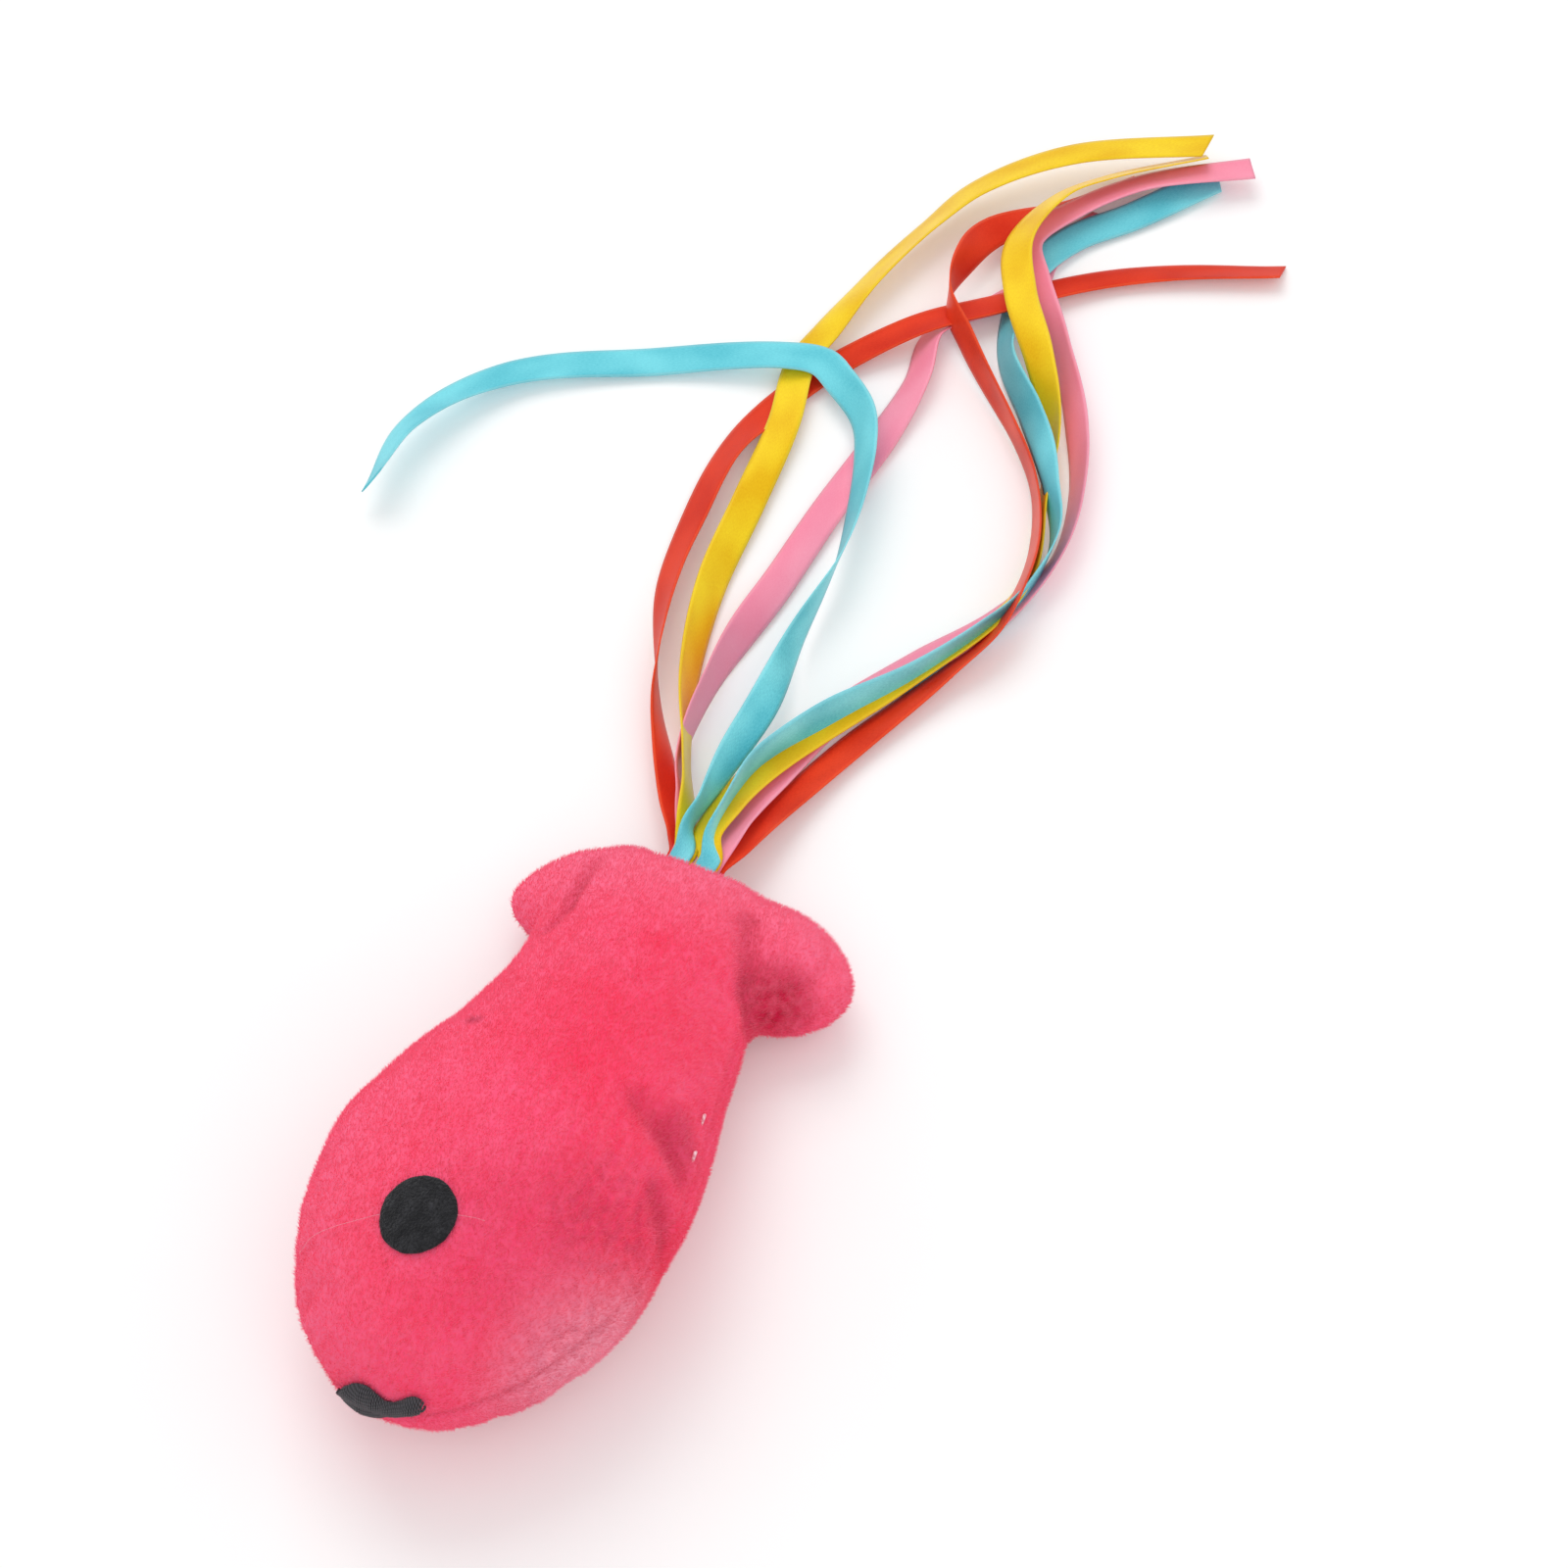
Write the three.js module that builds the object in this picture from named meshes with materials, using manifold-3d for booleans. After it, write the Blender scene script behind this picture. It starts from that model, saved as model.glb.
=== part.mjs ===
// A stuffed plush fish, lying on its side, with four satin ribbons caught in the seam at its tail.
// Millimetres, +Z up. +X runs from the tail to the snout and +Y from the back to the belly.
// The fish stands on z = 0, and its own pieces, without the ribbon tails, have their middle at x = y = 0.
import * as THREE from 'three';
import { mergeVertices } from 'three/addons/utils/BufferGeometryUtils.js';
import Module from 'manifold-3d';

const wasm = await Module();
wasm.setup();

// Driving dimensions of the body
const bodyLength = 111;
const bodyHalfWidth = 28;
const upperCrown = 20;
const seamHeight = 19.5;
const plushThickness = 1.5;
const restFlat = 0.7;
const lowerCrown = seamHeight + restFlat;
const seamRise = 5;

// Driving dimensions of the creases that the filled skin draws in
const creaseWidth = 4.4;
const creaseDepth = 1.4;

// Driving dimensions of the tail lobes
const bellyLobeReach = 31.5;
const bellyLobeLength = 22;
const bellyLobeThickness = 15;
const bellyLobeFromTail = 1.2;
const bellyLobeSweep = 0.5;
const bellyLobeDroop = 0.5;
const backLobeReach = 27;
const backLobeLength = 18.5;
const backLobeThickness = 13;
const backLobeFromTail = 1.5;
const backLobeSweep = 4.5;
const backLobeDroop = 1.5;

// Driving dimensions of the face
const eyeDiameter = 11.4;
const eyeThickness = 0.9;
const eyeFromSnout = 23.1;
const eyeFromMiddle = 3.6;
const mouthWidth = 3.4;
const mouthThickness = 0.8;
const mouthBackReach = 6;
const mouthBellyReach = 7;
const mouthRise = 0.8;
const mouthSag = 4;

// Driving dimensions of the threads
const threadDiameter = 0.8;
const threadDepth = 1.5;
const closingLength = 12;
const closingReach = 4.2;
const closingRise = 1.2;
const closingFromSnout = 58;

// Driving dimensions of the pouch of catnip
const pouchDiameter = 30;
const pouchHalfThickness = 8;
const pouchCloth = 0.8;
const pouchFromSnout = 47;

// Driving dimensions of the ribbons and their tack
const ribbonWidth = 6;
const ribbonThickness = 0.4;
const ribbonFromMiddle = 2.5;
const foldDepth = 9;
const foldNotch = 2;
const foldProud = 0.5;
const rootLength = 4;
const tackDiameter = 1.2;
const tackDepth = 5.5;

// Clearances, and how far a cut runs past what it cuts
const gap = 0.3;
const pocketClearance = 1;
const pocketLip = 2.4;
const overrun = 20;

// How finely each surface is divided
const bodyStations = 25;
const bodySides = 24;
const coreStations = 16;
const coreSides = 14;
const lobeStations = 8;
const lobeSides = 14;
const roundSides = 16;
const crownSteps = 5;
const mouthSteps = 8;
const threadSides = 6;
const threadSteps = 18;
const closingStitches = 4;
const closingSteps = 32;
const creaseSteps = 6;
const tailStepLength = 5;

// Shapes along the body: each pair is a station, from 0 at the tail to 1 at the snout, and a share
const backShares = [
  [0, 0.5], [0.04, 0.62], [0.12, 0.7], [0.28, 0.69], [0.42, 0.765], [0.54, 0.9], [0.66, 1], [1, 1],
];
const bellyShares = [
  [0, 0.5], [0.04, 0.62], [0.12, 0.7], [0.28, 0.77], [0.42, 0.92], [0.54, 1], [0.66, 1.04], [1, 1],
];
const crownShares = [[0, 0.42], [0.1, 0.5], [0.26, 0.62], [0.44, 0.86], [0.6, 1], [1, 1]];
const seamShares = [[0, 0.48], [0.1, 0.49], [0.26, 0.66], [0.44, 0.88], [0.6, 1], [1, 1]];
const snoutStartShare = 0.64;
const headStartShare = 0.54;
const tailRoundShare = 0.1;
const tailEdgeShare = 0.08;
const snoutEndShare = 0.9995;

// Each crease as it runs over the upper panel: a station, and a share of the half turn from belly to back
const creaseShares = [
  [[0.482, 0.366], [0.51, 0.293], [0.548, 0.163], [0.563, 0.12]],
  [[0.595, 0.223], [0.619, 0.166], [0.633, 0.12]],
  [[0.1, 0.697], [0.171, 0.69], [0.235, 0.74], [0.262, 0.84]],
  [[0.064, 0.264], [0.1, 0.215], [0.135, 0.162], [0.17, 0.1]],
];

// Shapes along a lobe, from 0 inside the body to 1 at the tip, and along the mouth, from back to belly
const lobeShares = [[0, 0.95], [0.3, 1.06], [0.63, 0.91], [0.87, 0.75], [1, 0.68]];
const lobeStartShare = 0.3;
const lobeTipShare = 0.6;
const lobeEndShare = 0.98;
const mouthShares = [[0, 0.9], [0.15, 1.3], [0.4, 1.1], [0.8, 0.85], [1, 0.6]];
const mouthLowShare = 0.3;

// Where the threads begin and end along the body
const seamStartShare = 0.14;
const seamEndShare = 0.95;

const tailX = -bodyLength / 2;
const snoutX = bodyLength / 2;
const seamSlope = seamRise / bodyHalfWidth;

function mix(a, b, share) {
  return a + (b - a) * share;
}

// A smooth curve through pairs of station and value, read at one station
function along(pairs, station) {
  const last = pairs.length - 2;
  const found = pairs.findIndex((pair, k) => k <= last && station <= pairs[k + 1][0]);
  const i = found < 0 ? last : found;
  const slope = (a, b) => (pairs[b][1] - pairs[a][1]) / (pairs[b][0] - pairs[a][0]);
  const before = slope(Math.max(i - 1, 0), i + 1);
  const after = slope(i, Math.min(i + 2, last + 1));
  const span = pairs[i + 1][0] - pairs[i][0];
  const t = (station - pairs[i][0]) / span;
  const blend = mix(pairs[i][1], pairs[i + 1][1], t * t * (3 - 2 * t));
  return blend + span * t * (1 - t) * (before * (1 - t) - after * t);
}

function roundEnd(share) {
  return Math.sqrt(Math.max(0, 1 - share * share));
}

// One cross-section of the body, drawn in on every side by an inset
function section(station, inset) {
  const snout = roundEnd(Math.max(0, (station - snoutStartShare) / (1 - snoutStartShare)));
  const head = roundEnd(Math.max(0, (station - headStartShare) / (1 - headStartShare)));
  const tail = Math.max(tailEdgeShare, roundEnd(Math.max(0, 1 - station / tailRoundShare)));
  const crown = along(crownShares, station);
  return {
    x: mix(tailX + inset, snoutX - inset, station),
    seam: seamHeight * along(seamShares, station),
    back: (bodyHalfWidth * along(backShares, station) - inset) * snout,
    belly: (bodyHalfWidth * along(bellyShares, station) - inset) * snout,
    upper: (upperCrown * crown - inset) * head * tail,
    lower: (lowerCrown * crown - inset) * head * tail,
  };
}

// The surface of a cross-section at an angle: 0 is level towards the belly, and a quarter turn is up
function pointOn(cut, angle) {
  const out = Math.cos(angle) * (Math.cos(angle) > 0 ? cut.belly : cut.back);
  const rise = Math.sin(angle) * (Math.sin(angle) > 0 ? cut.upper : cut.lower);
  return new THREE.Vector3(cut.x, out, cut.seam + rise);
}

// The angle at which the seam leaves the plush: side is 1 at the belly and -1 at the back
function seamAngle(cut, side) {
  return side > 0
    ? Math.atan2(seamSlope * cut.belly, cut.upper)
    : Math.PI + Math.atan2(seamSlope * cut.back, cut.lower);
}

// The body's station at a distance from the snout
function stationAt(fromSnout) {
  return 1 - fromSnout / bodyLength;
}

// The pocket in the tail seam where the ribbons are held: their stack, its middle and its corners
const tailSeam = section(0, 0).seam;
const colours = ['red', 'pink', 'yellow', 'turquoise'];
const layerPitch = ribbonThickness + gap;
const stackHalfHeight = (colours.length * layerPitch - gap) / 2;
const rootX = tailX - foldProud;
const rootSide = (ribbonWidth + gap) / 2;
const tackX = tailX + tackDepth;
const pocketEnd = tailX + foldDepth + pocketClearance;

function layerHeight(layer) {
  return tailSeam + (layer - (colours.length - 1) / 2) * layerPitch;
}

// Closed surface through rings of points, each end closed by a fan
function skinOver(rings) {
  const sides = rings[0].length;
  const points = rings.flat();
  const faces = [];
  for (let i = 0; i < rings.length - 1; i += 1) {
    for (let j = 0; j < sides; j += 1) {
      const a = i * sides + j;
      const b = i * sides + (j + 1) % sides;
      faces.push(a, b, a + sides, b, b + sides, a + sides);
    }
  }
  for (const row of [0, rings.length - 1]) {
    const middle = new THREE.Vector3();
    rings[row].forEach((point) => middle.addScaledVector(point, 1 / sides));
    const centre = points.push(middle) - 1;
    for (let j = 0; j < sides; j += 1) {
      const a = row * sides + j;
      const b = row * sides + (j + 1) % sides;
      faces.push(centre, row ? a : b, row ? b : a);
    }
  }
  const geometry = new THREE.BufferGeometry().setFromPoints(points);
  geometry.setIndex(faces);
  return geometry;
}

function solidOf(geometry) {
  const plain = geometry.clone();
  plain.deleteAttribute('normal');
  plain.deleteAttribute('uv');
  const merged = mergeVertices(plain);
  return new wasm.Manifold(new wasm.Mesh({
    numProp: 3,
    vertProperties: merged.attributes.position.array,
    triVerts: new Uint32Array(merged.index.array),
  }));
}

function geometryOf(solid) {
  const mesh = solid.getMesh();
  const geometry = new THREE.BufferGeometry();
  geometry.setAttribute('position', new THREE.BufferAttribute(mesh.vertProperties, 3));
  geometry.setIndex(new THREE.BufferAttribute(mesh.triVerts, 1));
  return geometry;
}

// The main body of a cut, without the crumbs of no size that a channel along the cut leaves
function largestOf(solid) {
  return solid.decompose().sort((a, b) => b.volume() - a.volume())[0];
}

// An upright post between two heights
function postSolid(x, y, diameter, low, high) {
  const post = new THREE.CylinderGeometry(diameter / 2, diameter / 2, high - low, roundSides);
  return solidOf(post.rotateX(Math.PI / 2).translate(x, y, (low + high) / 2));
}

function boxSolid(low, high) {
  const size = high.map((value, axis) => value - low[axis]);
  const middle = high.map((value, axis) => (value + low[axis]) / 2);
  return solidOf(new THREE.BoxGeometry(...size).translate(...middle));
}

function bodySolid(inset, stations, sides) {
  const rings = [];
  for (let i = 0; i <= stations; i += 1) {
    const station = Math.min((1 - Math.cos(Math.PI * i / stations)) / 2, snoutEndShare);
    const cut = section(station, inset);
    const ring = [];
    for (let j = 0; j < sides; j += 1) ring.push(pointOn(cut, 2 * Math.PI * j / sides));
    rings.push(ring);
  }
  return solidOf(skinOver(rings));
}

// Everything on one side of the seam, short of it by half a gap: side is 1 above and -1 below.
// The seam rises from the back to the belly.
function besideSeam(side) {
  const far = side * (seamHeight + upperCrown + lowerCrown + overrun);
  const shape = new THREE.Shape();
  shape.moveTo(tailX - overrun, far);
  shape.lineTo(tailX - overrun, tailSeam + side * gap / 2);
  for (let i = 0; i <= bodyStations; i += 1) {
    const cut = section(i / bodyStations, 0);
    shape.lineTo(cut.x, cut.seam + side * gap / 2);
  }
  shape.lineTo(snoutX + overrun, seamHeight + side * gap / 2);
  shape.lineTo(snoutX + overrun, far);
  const depth = 2 * (bodyHalfWidth + overrun);
  const block = new THREE.ExtrudeGeometry(shape, { depth, bevelEnabled: false });
  block.rotateX(Math.PI / 2).translate(0, depth / 2, 0);
  return solidOf(block.applyMatrix4(new THREE.Matrix4().makeShear(0, 0, 0, seamSlope, 0, 0)));
}

// A stuffed lobe at the tail, which sweeps towards the snout and droops towards its tip:
// side is 1 at the belly and -1 at the back
function lobeSolid(side, reach, length, thickness, fromTail, sweep, droop) {
  const rings = [];
  for (let i = 0; i <= lobeStations; i += 1) {
    const station = lobeEndShare * Math.sin(Math.PI / 2 * i / lobeStations);
    const tip = roundEnd(Math.max(0, (station - lobeTipShare) / (1 - lobeTipShare)));
    const size = along(lobeShares, station) * tip / 2;
    const middle = tailX + fromTail + length / 2 + sweep * station;
    const height = tailSeam - droop * station;
    const ring = [];
    for (let j = 0; j < lobeSides; j += 1) {
      const angle = 2 * Math.PI * j / lobeSides;
      const x = middle - side * Math.cos(angle) * length * size;
      const y = side * reach * mix(lobeStartShare, 1, station);
      ring.push(new THREE.Vector3(x, y, height + Math.sin(angle) * thickness * size));
    }
    rings.push(ring);
  }
  return solidOf(skinOver(rings));
}

// The layer that lies on the plush, a gap off it
function layerOnPlush(thickness) {
  return bodySolid(-gap - thickness, bodyStations, bodySides).subtract(room);
}

// A felt disc on the upper or the lower side
function eyeSolid(side) {
  const ends = [seamHeight, seamHeight + side * (upperCrown + lowerCrown)];
  const low = Math.min(...ends);
  const high = Math.max(...ends);
  const post = postSolid(snoutX - eyeFromSnout, -eyeFromMiddle, eyeDiameter, low, high);
  return layerOnPlush(eyeThickness).intersect(post);
}

// A band of satin stitch round the front of the snout, outlined as it is seen from the front
function mouthSolid() {
  const edge = (share, side) => {
    const y = mix(-mouthBackReach, mouthBellyReach, share);
    const bend = mouthSag * ((share - mouthLowShare) / (1 - mouthLowShare)) ** 2;
    return [y, seamHeight + mouthRise + bend + side * mouthWidth / 2 * along(mouthShares, share)];
  };
  const shape = new THREE.Shape();
  shape.moveTo(...edge(0, -1));
  for (let i = 1; i <= mouthSteps; i += 1) shape.lineTo(...edge(i / mouthSteps, -1));
  for (let i = mouthSteps; i >= 0; i -= 1) shape.lineTo(...edge(i / mouthSteps, 1));
  const band = new THREE.ExtrudeGeometry(shape, { depth: bodyLength, bevelEnabled: false });
  band.rotateX(Math.PI / 2).rotateZ(Math.PI / 2);
  return layerOnPlush(mouthThickness).intersect(solidOf(band));
}

function tubeSolid(points, diameter, steps) {
  const shape = new THREE.Shape();
  for (let j = 0; j < threadSides; j += 1) {
    const angle = 2 * Math.PI * j / threadSides;
    const corner = [Math.cos(angle) * diameter / 2, Math.sin(angle) * diameter / 2];
    if (j) shape.lineTo(...corner);
    else shape.moveTo(...corner);
  }
  const extrudePath = new THREE.CatmullRomCurve3(points);
  return solidOf(new THREE.ExtrudeGeometry(shape, { extrudePath, steps, bevelEnabled: false }));
}

// Rods that lie in the creases of the upper panel, or with a wall's thickness grown all round them
function creaseRods(grown) {
  const proud = creaseWidth / 2 - creaseDepth;
  const beyond = (from, end) => end.clone().addScaledVector(end.clone().sub(from).normalize(), grown);
  const rods = creaseShares.map((line) => {
    const points = line.map(([station, turn]) => pointOn(section(station, -proud), Math.PI * turn));
    const last = points.length - 1;
    const ends = [beyond(points[1], points[0]), beyond(points[last - 1], points[last])];
    const path = [ends[0], ...points.slice(1, last), ends[1]];
    return tubeSolid(path, creaseWidth + 2 * grown, creaseSteps);
  });
  return rods.reduce((all, rod) => all.add(rod));
}

// The thread of a seam, just inside the plush, or the room for it if it is grown
function seamThread(side, grown) {
  const inset = plushThickness + threadDepth;
  const extra = grown / bodyLength;
  const points = [];
  for (let i = 0; i <= threadSteps; i += 1) {
    const cut = section(mix(seamStartShare - extra, seamEndShare + extra, i / threadSteps), inset);
    points.push(pointOn(cut, seamAngle(cut, side)));
  }
  return tubeSolid(points, threadDiameter + 2 * grown, threadSteps);
}

// The hand stitches that close the belly seam: one thread that whips across it
function closingThread() {
  const inset = -gap - threadDiameter;
  const points = [];
  for (let i = 0; i <= 2 * closingStitches; i += 1) {
    const share = i / (2 * closingStitches) - 1 / 2;
    const cut = section(stationAt(closingFromSnout + closingLength * share), inset);
    const lift = closingRise + (i % 2 ? 1 : -1) * closingReach / 2;
    points.push(pointOn(cut, seamAngle(cut, 1) + lift / cut.upper));
  }
  return tubeSolid(points, threadDiameter, closingSteps);
}

// A lens, rounded above and below, or half a lens if side is 1 or -1
function lensGeometry(radius, halfHeight, side) {
  const from = side > 0 ? 0 : -Math.PI / 2;
  const to = side < 0 ? 0 : Math.PI / 2;
  const steps = side ? crownSteps : 2 * crownSteps;
  const profile = [];
  for (let i = 0; i <= steps; i += 1) {
    const angle = mix(from, to, i / steps);
    profile.push(new THREE.Vector2(radius * Math.cos(angle), halfHeight * Math.sin(angle)));
  }
  if (side > 0) profile.unshift(new THREE.Vector2(0, 0));
  if (side < 0) profile.push(new THREE.Vector2(0, 0));
  profile[0].x = 0;
  profile[profile.length - 1].x = 0;
  const lens = new THREE.LatheGeometry(profile, roundSides);
  return lens.rotateX(Math.PI / 2);
}

function pouchLens(grown, side) {
  const lens = lensGeometry(pouchDiameter / 2 + grown, pouchHalfThickness + grown, side);
  return solidOf(lens.translate(snoutX - pouchFromSnout, 0, seamHeight + side * gap / 2));
}

// One ribbon's middle, folded flat into a V that opens towards its two tails
function foldSolid(layer) {
  const reach = ribbonWidth + gap / 2;
  const shape = new THREE.Shape();
  shape.moveTo(rootX, gap / 2);
  shape.lineTo(rootX, reach);
  shape.lineTo(tailX + foldDepth, ribbonWidth / 2);
  shape.lineTo(tailX + foldDepth, -ribbonWidth / 2);
  shape.lineTo(rootX, -reach);
  shape.lineTo(rootX, -gap / 2);
  shape.lineTo(tailX + foldNotch, 0);
  const low = layerHeight(layer) - ribbonThickness / 2;
  const fold = new THREE.ExtrudeGeometry(shape, { depth: ribbonThickness, bevelEnabled: false });
  const hole = postSolid(tackX, -ribbonFromMiddle, tackDiameter + 2 * gap, 0, seamHeight);
  return solidOf(fold.translate(0, -ribbonFromMiddle, low)).subtract(hole);
}

// The pocket is wide enough for the folds to turn about the tack. Its upper lip stands back, so that
// the tails can swing and lift at the same time.
function pocketSolid() {
  const reach = Math.hypot(rootX - tackX, ribbonWidth + gap / 2) + pocketClearance;
  const low = [tailX - overrun, -ribbonFromMiddle - reach, tailSeam - stackHalfHeight - pocketClearance];
  const high = [pocketEnd, -ribbonFromMiddle + reach, tailSeam];
  high[2] += stackHalfHeight + pocketClearance;
  const lip = [tailX + pocketLip, high[1], seamHeight];
  return boxSolid(low, high).add(boxSolid([low[0], low[1], tailSeam], lip));
}

function tackSolid() {
  const halfHeight = stackHalfHeight + pocketClearance - gap;
  return postSolid(tackX, -ribbonFromMiddle, tackDiameter, tailSeam - halfHeight, tailSeam + halfHeight);
}

// A ribbon tail: a flat strip that leaves the pocket level and then follows its route.
// Each point of a route is [distance behind the tail, place towards the belly, height, roll in degrees].
function ribbonTail(layer, side, route) {
  const root = new THREE.Vector3(rootX - gap, -ribbonFromMiddle + side * rootSide, layerHeight(layer));
  const points = [root, root.clone().setX(root.x - rootLength / 2)];
  const rolls = [0, 0];
  for (const [behind, across, height, roll] of route) {
    points.push(new THREE.Vector3(tailX - behind, across, height));
    rolls.push(roll * Math.PI / 180);
  }
  const curve = new THREE.CatmullRomCurve3(points, false, 'centripetal');
  const steps = Math.round(curve.getLength() / tailStepLength);
  const up = new THREE.Vector3(0, 0, 1);
  const rings = [];
  for (let i = 0; i <= steps; i += 1) {
    const t = curve.getUtoTmapping(i / steps);
    const place = t * (points.length - 1);
    const k = Math.min(Math.floor(place), points.length - 2);
    const roll = mix(rolls[k], rolls[k + 1], place - k);
    const centre = curve.getPoint(t);
    const ahead = i ? curve.getTangent(t) : new THREE.Vector3(-1, 0, 0);
    const level = new THREE.Vector3().crossVectors(up, ahead).normalize();
    const raised = new THREE.Vector3().crossVectors(ahead, level);
    const wide = level.clone().multiplyScalar(Math.cos(roll)).addScaledVector(raised, Math.sin(roll));
    const thick = new THREE.Vector3().crossVectors(ahead, wide);
    const ring = [[1, 1], [-1, 1], [-1, -1], [1, -1]].map(([a, b]) => centre.clone()
      .addScaledVector(wide, a * ribbonWidth / 2)
      .addScaledVector(thick, b * ribbonThickness / 2));
    rings.push(ring);
  }
  return solidOf(skinOver(rings));
}

const toy = new THREE.Group();

function add(name, solid, color, roughness) {
  const material = new THREE.MeshStandardMaterial({ color, roughness, metalness: 0 });
  const mesh = new THREE.Mesh(geometryOf(solid), material);
  mesh.name = name;
  toy.add(mesh);
}

const plushPink = 0xf5527a;
const feltBlack = 0x2c2c2f;
const fillWhite = 0xf2efe8;
const clothWhite = 0xe9e4d8;
const herbGreen = 0x74804a;
const seamPink = 0xd9507a;
const threadPale = 0xf3b9c8;
const satin = { pink: 0xf99db4, red: 0xf4532e, yellow: 0xe9c528, turquoise: 0x6fc9d6 };

const above = besideSeam(1);
const below = besideSeam(-1);
const reach = bodyLength + overrun;
const floor = boxSolid([-reach, -reach, -reach], [reach, reach, 0]);
const pocket = pocketSolid();
const room = bodySolid(-gap, bodyStations, bodySides);

const hollow = bodySolid(plushThickness, coreStations, coreSides).subtract(creaseRods(plushThickness));
const creased = bodySolid(0, bodyStations, bodySides).subtract(creaseRods(0));
const plush = creased.subtract(hollow).subtract(pocket).subtract(floor);
add('plush_upper', plush.intersect(above), plushPink, 0.95);
add('plush_lower', plush.intersect(below), plushPink, 0.95);

const backLobe = lobeSolid(
  -1, backLobeReach, backLobeLength, backLobeThickness, backLobeFromTail, backLobeSweep, backLobeDroop,
);
const bellyLobe = lobeSolid(
  1, bellyLobeReach, bellyLobeLength, bellyLobeThickness, bellyLobeFromTail, bellyLobeSweep, bellyLobeDroop,
);
add('tail_lobe_back', backLobe.subtract(room), plushPink, 0.95);
add('tail_lobe_belly', bellyLobe.subtract(room), plushPink, 0.95);

// The stuffing stops where the pocket begins
const coreInset = plushThickness + 2 * gap;
const core = bodySolid(coreInset, coreStations, coreSides).subtract(creaseRods(coreInset));
const tailRoom = boxSolid([-reach, -reach, -reach], [pocketEnd, reach, reach]);
let fill = core.subtract(tailRoom).subtract(pouchLens(gap + gap / 2, 0));
for (const side of [-1, 1]) fill = fill.subtract(seamThread(side, gap));
add('stuffing_upper', largestOf(fill.intersect(above)), fillWhite, 1);
add('stuffing_lower', largestOf(fill.intersect(below)), fillWhite, 1);

const herb = pouchLens(-pouchCloth - gap, 0);
const cavity = pouchLens(-pouchCloth, 0);
add('pouch_upper', pouchLens(0, 1).subtract(cavity), clothWhite, 1);
add('pouch_lower', pouchLens(0, -1).subtract(cavity), clothWhite, 1);
add('catnip', herb, herbGreen, 1);

add('eye_upper', eyeSolid(1), feltBlack, 0.85);
add('eye_lower', eyeSolid(-1), feltBlack, 0.85);
add('mouth_stitching', mouthSolid(), feltBlack, 0.7);
add('seam_thread_back', seamThread(-1, 0), seamPink, 0.8);
add('seam_thread_belly', seamThread(1, 0), seamPink, 0.8);
add('closing_thread', closingThread(), threadPale, 0.8);
add('ribbon_tack', tackSolid(), seamPink, 0.8);

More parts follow.
